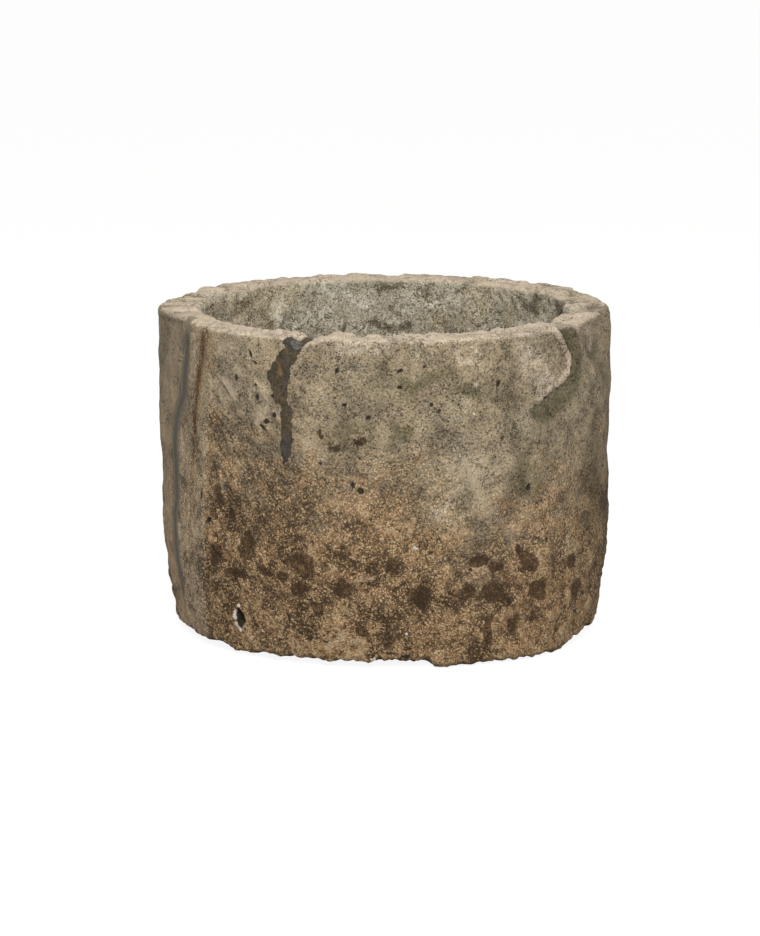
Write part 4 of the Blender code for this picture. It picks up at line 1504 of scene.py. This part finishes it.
def limestone_finish(stone):
    """Weathered limestone. One sum of noises drives tone and relief, so that dirt lies in the hollows."""
    make = Finish("limestone")
    broad = make.grain(BROAD_SIZE, 3.0, 0.55)
    patchy = make.grain(PATCH_SIZE, 5.0, 0.62, warp=0.3)
    clumps = make.grain(CLUMP_SIZE, 5.0, 0.68, warp=0.4)
    grit = make.grain(GRIT_SIZE, 3.0, 0.75)
    sand = make.cells(SAND_SIZE, make.nudged(0.005, 0.002))[1]
    off = {name: make.maths("SUBTRACT", value, 0.5) for name, value in
           (("broad", broad), ("patchy", patchy), ("clumps", clumps), ("grit", grit), ("sand", sand))}
    marks = {name: make.mark(name) for name in
             ("inside", "facet", "beside", "strip", "rim", "soil", "damp_and_shade", "pale", "smooth", "rust", "core",
              "blotch", "lime", "pit", "foot", "painted_base_light", "hollow_shade")}
    inside, facet = marks["inside"], marks["facet"]
    outside = make.maths("SUBTRACT", 1.0, inside)

    # Soil stain, heavier towards the base, with a ragged upper limit
    reach = make.plus(make.plus(marks["soil"], 0.8, off["broad"]), 0.9, off["patchy"])
    reach = make.plus(make.plus(reach, 0.7, off["clumps"]), 0.6, off["grit"])
    soiled = make.between(reach, 0.30, 0.84)

    # Pinholes, pits with painted shade, pale flecks and crackled crust
    near, chance = make.cells(PINHOLE_SPACING)
    hole = make.between(make.plus(near, 1.0, make.maths("SUBTRACT", 1.0, chance)), 0.36, 0.18)
    pit = make.between(make.plus(marks["pit"], 0.8, off["grit"]), 0.30, 0.90)
    near, chance = make.cells(FLECK_SPACING, make.nudged(0.004, 0.003))
    fleck = make.plus(near, 1.0, make.maths("SUBTRACT", 1.0, chance))
    fleck = make.maths("MULTIPLY", make.between(fleck, 0.46, 0.26), make.between(clumps, 0.42, 0.58))
    hairline = make.maths("SUBTRACT", make.grain(HAIRLINE_SIZE, 4.0, 0.60, warp=0.8), 0.5)
    hairline = make.maths("ABSOLUTE", hairline)
    hairline = make.maths("MULTIPLY", make.between(hairline, 0.024, 0.0), make.between(patchy, 0.47, 0.58))
    crust = make.between(make.crackle(CRUST_CELL, make.nudged(0.02, 0.016)), 0.10, 0.0)
    crust = make.maths("MULTIPLY", crust, make.between(clumps, 0.44, 0.60))

    # Tone: the sum of the noises, calmer on the flat side, the rim and smooth patches
    rough = make.plus(make.maths("MULTIPLY", off["patchy"], 0.82), 0.86, off["clumps"])
    rough = make.plus(rough, 1.02, off["grit"])
    earthy = make.plus(make.plus(off["clumps"], 1.0, off["patchy"]), 0.4, off["grit"])
    rough = make.plus(rough, make.maths("MULTIPLY", soiled, 1.00), earthy)
    uneven = make.between(make.grain(0.045, 2.0), 0.38, 0.62)
    rough = make.maths("MULTIPLY", rough, make.straight(uneven, 0.0, 1.0, 0.66, 1.16))
    calm = make.plus(make.maths("MULTIPLY", facet, 0.62), 0.52, marks["smooth"])
    calm = make.plus(make.plus(calm, 0.30, marks["rim"]), 0.48, inside)
    lively = make.maths("SUBTRACT", 1.0, calm, clamp=True)
    rough = make.maths("MULTIPLY", rough, lively)
    dark_grain = make.between(sand, 0.22, 0.06)
    dark_grain = make.maths("MULTIPLY", dark_grain, make.straight(soiled, 0.0, 1.0, 1.0, 0.8))
    bright_grain = make.maths("MULTIPLY", make.between(sand, 0.74, 0.95), soiled)
    grains = make.plus(make.maths("MULTIPLY", off["sand"], 0.35), -0.13, dark_grain)
    grains = make.plus(grains, 0.40, bright_grain)
    tone = make.plus(make.plus(0.495, 1.0, rough), 1.0, make.maths("MULTIPLY", grains, lively))
    tone = make.plus(tone, -0.34, make.maths("MULTIPLY", hole, outside))
    # Painted shade darkens the pits and the pocket
    tone = make.plus(make.plus(tone, -0.34, pit), -0.36, hairline)
    # Painted shade in the hollows of the lumps and hack marks, weaker in the basin
    hollow_shade = make.maths("SUBTRACT", marks["hollow_shade"], 0.38)
    hollow_shade = make.maths("MULTIPLY", hollow_shade, make.straight(inside, 0.0, 1.0, 1.0, 0.35))
    tone = make.plus(make.plus(tone, -0.30, hollow_shade), 0.07, marks["smooth"])
    frayed = make.plus(make.maths("MULTIPLY", off["clumps"], 1.6), 0.9, off["patchy"])
    frayed = make.plus(frayed, 0.7, off["grit"])
    blotch = make.plus(marks["blotch"], make.between(marks["blotch"], 0.02, 0.30), frayed)
    fringe = make.between(blotch, 0.02, 0.26)
    blotch = make.between(blotch, 0.17, 0.28)
    # Painted light lifts the soil's tone towards the base
    soil_tone = make.plus(make.plus(tone, 0.12, marks["painted_base_light"]), -0.10, fringe)
    # Green damp and painted shade
    damp_and_shade = make.between(make.plus(marks["damp_and_shade"], 1.3, off["clumps"]), 0.05, 0.72)
    crusted = make.between(make.plus(marks["pale"], 1.6, off["clumps"]), 0.20, 0.80)
    basin_tone = make.plus(make.plus(tone, 0.24, off["sand"]), -0.25, hairline)
    basin_tone = make.plus(make.plus(basin_tone, 0.25, off["patchy"]), -0.34, damp_and_shade)
    basin_tone = make.plus(make.plus(basin_tone, 0.24, crusted), -0.10, crust)

    # Bare face, warmer and cooler by turns
    warm, grey, worn = tuple(stone.limestone), tuple(stone.limestone_grey), tuple(stone.worn)
    bare_tones = (
        (0.10, DEEP_HOLLOW),
        (0.36, shade(grey, 0.84)),
        (0.54, warm),
        (0.74, shade(warm, 1.34)),
        (0.92, shade(worn, 1.35)),
    )
    bare = make.ramp(tone, bare_tones)
    cool = make.between(make.plus(broad, 0.9, off["patchy"]), 0.40, 0.62)
    bare = make.blend(cool, bare, make.blend(1.0, bare, COOL_TINT, "MULTIPLY"))
    bare = make.blend(marks["smooth"], bare, make.blend(1.0, bare, SMOOTH_TINT, "MULTIPLY"))

    # Soil
    soil, dark_soil, earth = tuple(stone.soil), tuple(stone.soil_dark), tuple(stone.earth)
    stain_tones = (
        (0.10, shade(earth, 0.8)),
        (0.34, dark_soil),
        (0.54, soil),
        (0.74, shade(soil, 1.55)),
        (0.92, DRY_SOIL),
    )
    stain = make.ramp(soil_tone, stain_tones)
    bleached = make.maths("MULTIPLY", make.between(patchy, 0.56, 0.68), 0.25)
    stain = make.blend(bleached, stain, bare)
    colour = make.blend(make.maths("MULTIPLY", soiled, 0.94), bare, stain)
    dark_tones = (
        (0.08, shade(earth, 0.65)),
        (0.40, shade(earth, 0.98)),
        (0.60, shade(earth, 1.25)),
        (1.00, shade(soil, 0.80)),
    )
    dark = make.ramp(soil_tone, dark_tones)
    colour = make.blend(make.maths("MULTIPLY", blotch, 0.97), colour, dark)
    speckled = make.maths("MULTIPLY", fleck, make.straight(soiled, 0.0, 1.0, 0.25, 0.75))
    speckled = make.maths("MULTIPLY", speckled, make.straight(blotch, 0.0, 1.0, 1.0, 0.25))
    colour = make.blend(make.maths("MULTIPLY", speckled, outside), colour, PALE_FLECK)

    # Green damp, and painted shade on the right of the face and over the flake
    green = make.blend(1.0, colour, DAMP_AND_SHADE_TINT, "MULTIPLY")
    colour = make.blend(make.maths("MULTIPLY", damp_and_shade, outside), colour, green)

    # The basin: grey green with damp below and pale crusts
    basin = make.ramp(basin_tone, BASIN_TONES)
    tinted = make.blend(1.0, basin, BASIN_TINT, "MULTIPLY")
    basin = make.blend(make.between(broad, 0.46, 0.60), basin, tinted)
    colour = make.blend(inside, colour, basin)

    # The flat side: smoother and darker, and paler beyond the grey strip
    side = make.blend(1.0, bare, SIDE_TINT, "MULTIPLY")
    side = make.blend(make.maths("MULTIPLY", soiled, 0.35), side, stain)
    colour = make.blend(facet, colour, side)
    lit = make.blend(1.0, bare, BESIDE_TINT, "MULTIPLY")
    colour = make.blend(make.maths("MULTIPLY", marks["beside"], 0.8), colour, lit)
    strip = make.between(make.plus(marks["strip"], 0.8, off["clumps"]), 0.15, 1.0)
    grey_strip = make.blend(1.0, colour, STRIP_TINT, "MULTIPLY")
    colour = make.blend(make.maths("MULTIPLY", strip, 0.9), colour, grey_strip)

    # Pale stone on the rim and on worn patches: partly wear, partly a painted highlight on the rim's top and
    # along the flake's edge and ridge
    rubbed_and_highlight = make.maths("MULTIPLY", marks["pale"], outside)
    rub_and_highlight = make.between(make.plus(make.maths("MAXIMUM", marks["rim"], rubbed_and_highlight), 0.9, off["clumps"]), 0.08, 0.76)
    worn_and_highlight_stops = ((0.12, 0.40), (0.38, 0.98), (0.56, 1.26), (0.78, 1.58))
    pale = make.ramp(tone, [(position, shade(worn, amount)) for position, amount in worn_and_highlight_stops])
    colour = make.blend(make.maths("MULTIPLY", rub_and_highlight, 0.92), colour, pale)

    # Rust on the corner and beside the crack
    rusty = make.plus(make.plus(marks["rust"], 1.6, off["clumps"]), 1.3, off["grit"])
    rusty = make.between(rusty, 0.15, 0.85)
    orange = make.blend(1.0, colour, RUST_TINT, "MULTIPLY")
    colour = make.blend(rusty, colour, orange)
    core = make.plus(make.plus(marks["core"], 2.6, off["clumps"]), 4.0, off["grit"])
    brown = make.blend(1.0, colour, RUST_CORE_TINT, "MULTIPLY")
    colour = make.blend(make.between(core, 0.42, 0.84), colour, brown)

    # Lime, and painted shadow under the broken base edge
    lime = make.between(make.plus(make.plus(marks["lime"], 1.0, off["clumps"]), 0.8, off["grit"]), 0.36, 0.58)
    lime = make.maths("MULTIPLY", lime, make.maths("SUBTRACT", 1.0, pit))
    colour = make.blend(lime, colour, tuple(stone.lime))
    foot = make.between(make.plus(marks["foot"], 1.4, off["clumps"]), 0.34, 0.90)
    colour = make.blend(make.maths("MULTIPLY", foot, 0.62), colour, FOOT_SHADOW)

    # Painted shade in the pits and deep in the pocket, nearly black
    colour = make.blend(make.maths("MULTIPLY", pit, 0.85), colour, PIT_SHADE)

    height = make.plus(make.plus(rough, -0.30, hole), -0.30, make.maths("MULTIPLY", crust, inside))
    height = make.plus(make.plus(height, -0.35, hairline), 0.20, make.maths("MULTIPLY", fleck, soiled))
    normal = make.relief(height, STONE_RELIEF, 0.90)
    return make.done(colour, make.straight(clumps, 0.3, 0.7, 0.96, 0.84), normal)


def mortar_finish(name, body, streak, streak_share, grit, ring=None, faded=None):
    """Trowelled mortar: grit, streaks down the crack, slate round the plug, and edges that fade out."""
    make = Finish(name)
    cloudy = make.grain(MORTAR_CLOUD_SIZE, 4.0, 0.65)
    fine = make.grain(MORTAR_GRIT_SIZE, 4.0, 0.80)
    rough = make.maths("MULTIPLY", make.maths("SUBTRACT", cloudy, 0.5), 1.1)
    rough = make.plus(rough, 2.0, make.maths("SUBTRACT", fine, 0.5))
    tone = make.plus(0.5, grit, rough)
    body_stops = ((0.12, 0.45), (0.40, 0.85), (0.56, 1.08), (0.85, 1.75))
    colour = make.ramp(tone, [(position, shade(body, amount)) for position, amount in body_stops])
    if streak:
        runs = make.grain(STREAK_SIZE, 4.0, 0.70, make.stretched(STREAK_STRETCH, STREAK_TURN), warp=0.3)
        share = make.straight(make.mark("rusty"), 0.0, 1.0, 0.25 * streak_share, streak_share)
        share = make.maths("MULTIPLY", make.between(runs, 0.45, 0.57), share)
        colour = make.blend(share, colour, make.blend(1.0, streak, make.toned(tone, 1.7), "MULTIPLY"))
    if ring:
        place, slate, stone = ring
        away = make.add("ShaderNodeVectorMath", operation="DISTANCE")
        make.join(make.place, away.inputs[0])
        make.join(place, away.inputs[1])
        near = make.between(make.plus(away.outputs["Value"], 0.005, rough), *SLATE_RING_RADIUS)
        slated = make.between(make.plus(make.mark("slate"), 0.7, rough), 0.30, 0.80)
        near = make.maths("MAXIMUM", near, make.maths("MULTIPLY", slated, 0.85))
        colour = make.blend(near, colour, make.toned(slate, make.straight(tone, 0.2, 0.8, 0.6, 1.5)))
        notch = make.between(make.plus(make.mark("notch"), 0.5, rough), 0.2, 0.8)
        colour = make.blend(notch, colour, make.toned(stone, make.straight(tone, 0.2, 0.8, 0.5, 1.2)))
    if faded:
        verge = make.between(make.plus(make.mark("verge"), 0.3, rough), 0.30, 1.02)
        share = make.maths("MAXIMUM", make.maths("MULTIPLY", verge, 0.60), make.mark("head"))
        colour = make.blend(share, colour, make.toned(faded, make.straight(tone, 0.2, 0.8, 0.6, 1.4)))
    normal = make.relief(rough, MORTAR_RELIEF, 0.3 + 0.6 * grit)
    return make.done(colour, make.straight(cloudy, 0.3, 0.7, 0.72, 0.90), normal)


# Pieces

# Angle past which an edge stays sharp, in degrees
STONE_SHARP_ANGLE = 42.0
MORTAR_SHARP_ANGLE = 50.0

# How far round from a mend's bearing its face is dressed, in degrees, and how deep the plug's lies
FRONT_HALF_ANGLE = 12.0
SIDE_HALF_ANGLE = 24.0
PLUG_RECESS = 0.0006


def finished(obj, material, node):
    """Gives a piece its finish, and has it stand for its CAD node on the trough's body."""
    obj.data.materials.clear()
    obj.data.materials.append(material)
    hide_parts(node)
    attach(obj, "root")


class TROUGH_OT_add_stone(bpy.types.Operator):
    """Turns, works and weathers the stone, and chases its cracks and pocket out of it"""

    bl_idname = "trough.add_stone"
    bl_label = "Add Stone"

    def execute(self, context):
        stone, mends = context.scene.trough_stone, context.scene.trough_mends
        whole = turned_mesh(stone)
        whole.name = "whole_stone"
        whole.use_fake_user = True
        obj = linked("weathered_stone", whole.copy())
        chase = linked("chase", front_crack_slab(0.0, mends.ragged_depth))
        carve(chase, [("UNION", rim_slot_slab(0.0)), ("UNION", plug_mesh(-MEND_CLEARANCE))])
        left = left_crack_slab(0.0, mends.ragged_depth * 0.5)
        small_pits = scattered_pits()
        carve(obj, [("DIFFERENCE", mesh) for mesh in (chase.data, left, hollows_mesh(small_pits))])
        bpy.data.objects.remove(chase)
        if len(obj.data.polygons) < len(whole.polygons) / 2:
            raise RuntimeError("the cuts left too little of the stone")
        dressed(obj, STONE_SHARP_ANGLE)
        wide, high = VUG_WIDER * VUG_HALF_WIDTH, VUG_WIDER * VUG_HALF_HEIGHT
        vug = (VUG_BEARING, VUG_HEIGHT, wide, high, VUG_DEPTH, VUG_TILT)
        pits = [vug, *PITS, *small_pits]
        paint(obj, lambda point: marks_at(point, pits))
        finished(obj, limestone_finish(stone), "trough_body")
        return {"FINISHED"}


class TROUGH_OT_add_front_mend(bpy.types.Operator):
    """Fills the front crack with dark mortar and sets the pale plug into its head"""

    bl_idname = "trough.add_front_mend"
    bl_label = "Add Front Mend"

    def execute(self, context):
        mends = context.scene.trough_mends
        whole = bpy.data.meshes["whole_stone"]
        face = recessed(whole, FRONT_CRACK_BEARING, FRONT_HALF_ANGLE, mends.front_recess, 0.018, 3.3)
        fill = linked("front_mortar", front_crack_slab(MEND_CLEARANCE, mends.ragged_depth))
        steps = [("UNION", rim_slot_slab(MEND_CLEARANCE)), ("INTERSECT", face)]
        carve(fill, [*steps, ("DIFFERENCE", plug_mesh(-MEND_CLEARANCE))])
        dressed(fill, MORTAR_SHARP_ANGLE)
        paint(fill, fill_marks_at)
        rust = tuple(context.scene.trough_stone.rust)
        head = front_crack_frame() @ Vector((PLUG_OFFSET, -PLUG_BELOW_RIM, 0.0))
        stone = tuple(context.scene.trough_stone.limestone_grey)
        ring = (tuple(head), tuple(mends.slate_mortar), stone)
        mortar = mortar_finish("dark_mortar", tuple(mends.dark_mortar), rust, 0.95, 0.8, ring=ring)
        finished(fill, mortar, "front_crack_fill")

        plug = linked("plug_mortar", plug_mesh(0.0))
        face = recessed(whole, FRONT_CRACK_BEARING, FRONT_HALF_ANGLE, PLUG_RECESS, 0.008, 5.1)
        carve(plug, [("INTERSECT", face)])
        dressed(plug, MORTAR_SHARP_ANGLE)
        mortar = mortar_finish("pale_mortar", tuple(mends.pale_mortar), None, 0.0, 1.3)
        finished(plug, mortar, "rim_crack_plug")
        return {"FINISHED"}


class TROUGH_OT_add_left_mend(bpy.types.Operator):
    """Fills the crack on the flat side with smooth grey mortar"""

    bl_idname = "trough.add_left_mend"
    bl_label = "Add Left Mend"

    def execute(self, context):
        mends = context.scene.trough_mends
        whole = bpy.data.meshes["whole_stone"]
        face = recessed(whole, FACET_BEARING, SIDE_HALF_ANGLE, mends.left_recess, 0.05, 7.7)
        fill = linked("grey_strip", left_crack_slab(MEND_CLEARANCE, mends.ragged_depth * 0.5))
        carve(fill, [("INTERSECT", face)])
        dressed(fill, MORTAR_SHARP_ANGLE)
        paint(fill, strip_marks_at)
        stone = tuple(context.scene.trough_stone.limestone_grey)
        mortar = mortar_finish("grey_mortar", tuple(mends.grey_mortar), None, 0.0, 0.35, faded=stone)
        finished(fill, mortar, "left_crack_fill")
        return {"FINISHED"}


# Studio

# The camera, shifted by shares of the frame's longer side, which is its height in pixels
CAMERA_PLACE = (0.0, -5.08, 1.2935)
CAMERA_TARGET = (0.0, -0.08, 0.2485)
CAMERA_LENS = 130.8
FRAME_HEIGHT = 936
CAMERA_SHIFT = (-4 / FRAME_HEIGHT, 2 / FRAME_HEIGHT)

# Lamps: name, place, what it faces, width, power in watts
LAMPS = (
    ("key_lamp", (0.2, -3.6, 2.6), (0.0, 0.0, 0.25), 1.6, 140.0),
    ("top_lamp", (-0.4, 0.4, 3.2), (0.0, 0.0, 0.30), 2.6, 22.0),
)

FLOOR_RADIUS = 14.0
FLOOR_SEEN = (0.18, 0.18, 0.18, 1.0)
FLOOR_BOUNCED = (0.62, 0.61, 0.59, 1.0)
FLOOR_GLOW = 0.90
SURROUND_COLOUR = (1.0, 0.985, 0.96, 1.0)
SURROUND_STRENGTH = 0.45
WHITE = (1.0, 1.0, 1.0, 1.0)


def faced(obj, place, target):
    """Stands a lamp or the camera at a place, facing a target."""
    obj.location = place
    obj.rotation_euler = (Vector(target) - Vector(place)).to_track_quat("-Z", "Y").to_euler()


def add_lamp(name, place, target, size, power):
    lamp = bpy.data.lights.new(name, "AREA")
    lamp.shape = "DISK"
    lamp.size = size
    lamp.energy = power
    faced(linked(name, lamp), place, target)


class TROUGH_OT_add_stage(bpy.types.Operator):
    """Adds the camera, the white floor, the soft lamps and the plain surround"""

    bl_idname = "trough.add_stage"
    bl_label = "Add Stage"

    def execute(self, context):
        scene = context.scene
        camera = bpy.data.cameras.new("camera")
        camera.lens = CAMERA_LENS
        camera.shift_x, camera.shift_y = CAMERA_SHIFT
        view = linked("camera", camera)
        faced(view, CAMERA_PLACE, CAMERA_TARGET)
        scene.camera = view

        shape = bmesh.new()
        bmesh.ops.create_circle(shape, cap_ends=True, segments=64, radius=FLOOR_RADIUS)
        mesh = bpy.data.meshes.new("floor")
        shape.to_mesh(mesh)
        shape.free()
        floor = linked("floor", mesh)
        floor.data.materials.append(floor_finish())

        for lamp in LAMPS:
            add_lamp(*lamp)
        surround(scene)
        scene.view_settings.view_transform = "Standard"
        return {"FINISHED"}


def floor_finish():
    """A white floor that keeps a soft shadow: what the camera sees is partly lit of its own."""
    material = bpy.data.materials.new("floor")
    material.use_nodes = True
    nodes, links = material.node_tree.nodes, material.node_tree.links
    nodes.clear()
    rays = nodes.new("ShaderNodeLightPath")
    seen, bounced = nodes.new("ShaderNodeBsdfDiffuse"), nodes.new("ShaderNodeBsdfDiffuse")
    seen.inputs["Color"].default_value = FLOOR_SEEN
    bounced.inputs["Color"].default_value = FLOOR_BOUNCED
    glow = nodes.new("ShaderNodeEmission")
    glow.inputs["Strength"].default_value = FLOOR_GLOW
    both, choose = nodes.new("ShaderNodeAddShader"), nodes.new("ShaderNodeMixShader")
    out = nodes.new("ShaderNodeOutputMaterial")
    links.new(seen.outputs[0], both.inputs[0])
    links.new(glow.outputs[0], both.inputs[1])
    links.new(rays.outputs["Is Camera Ray"], choose.inputs["Fac"])
    links.new(bounced.outputs[0], choose.inputs[1])
    links.new(both.outputs[0], choose.inputs[2])
    links.new(choose.outputs[0], out.inputs["Surface"])
    return material


def surround(scene):
    """Plain light from all round, seen as white."""
    world = bpy.data.worlds.new("surround")
    scene.world = world
    world.use_nodes = True
    nodes, links = world.node_tree.nodes, world.node_tree.links
    nodes.clear()
    rays = nodes.new("ShaderNodeLightPath")
    light, white = nodes.new("ShaderNodeBackground"), nodes.new("ShaderNodeBackground")
    light.inputs["Color"].default_value = SURROUND_COLOUR
    light.inputs["Strength"].default_value = SURROUND_STRENGTH
    white.inputs["Strength"].default_value = 1.0
    white.inputs["Color"].default_value = WHITE
    seen = nodes.new("ShaderNodeMath")
    seen.operation = "MAXIMUM"
    also = nodes.new("ShaderNodeMath")
    also.operation = "MAXIMUM"
    choose, out = nodes.new("ShaderNodeMixShader"), nodes.new("ShaderNodeOutputWorld")
    links.new(rays.outputs["Is Camera Ray"], seen.inputs[0])
    links.new(rays.outputs["Is Glossy Ray"], seen.inputs[1])
    links.new(seen.outputs[0], also.inputs[0])
    links.new(rays.outputs["Is Transmission Ray"], also.inputs[1])
    links.new(also.outputs[0], choose.inputs["Fac"])
    links.new(light.outputs[0], choose.inputs[1])
    links.new(white.outputs[0], choose.inputs[2])
    links.new(choose.outputs[0], out.inputs["Surface"])


class TROUGH_PT_panel(bpy.types.Panel):
    """The trough's sizes, colours and steps"""

    bl_idname = "TROUGH_PT_panel"
    bl_label = "Limestone Trough"
    bl_space_type = "VIEW_3D"
    bl_region_type = "UI"
    bl_category = "Trough"

    def draw(self, context):
        for settings in (context.scene.trough_stone, context.scene.trough_mends):
            box = self.layout.box()
            for name in settings.__annotations__:
                box.prop(settings, name)
        for operator in OPERATORS:
            self.layout.operator(operator.bl_idname)


OPERATORS = (TROUGH_OT_add_stone, TROUGH_OT_add_front_mend, TROUGH_OT_add_left_mend, TROUGH_OT_add_stage)
CLASSES = (TroughStone, TroughMends, *OPERATORS, TROUGH_PT_panel)


def register():
    for each in CLASSES:
        bpy.utils.register_class(each)
    bpy.types.Scene.trough_stone = PointerProperty(type=TroughStone)
    bpy.types.Scene.trough_mends = PointerProperty(type=TroughMends)


def unregister():
    del bpy.types.Scene.trough_mends
    del bpy.types.Scene.trough_stone
    for each in reversed(CLASSES):
        bpy.utils.unregister_class(each)


def main():
    register()
    bpy.ops.trough.add_stone()
    bpy.ops.trough.add_front_mend()
    bpy.ops.trough.add_left_mend()
    bpy.ops.trough.add_stage()


if __name__ == "__main__":
    main()
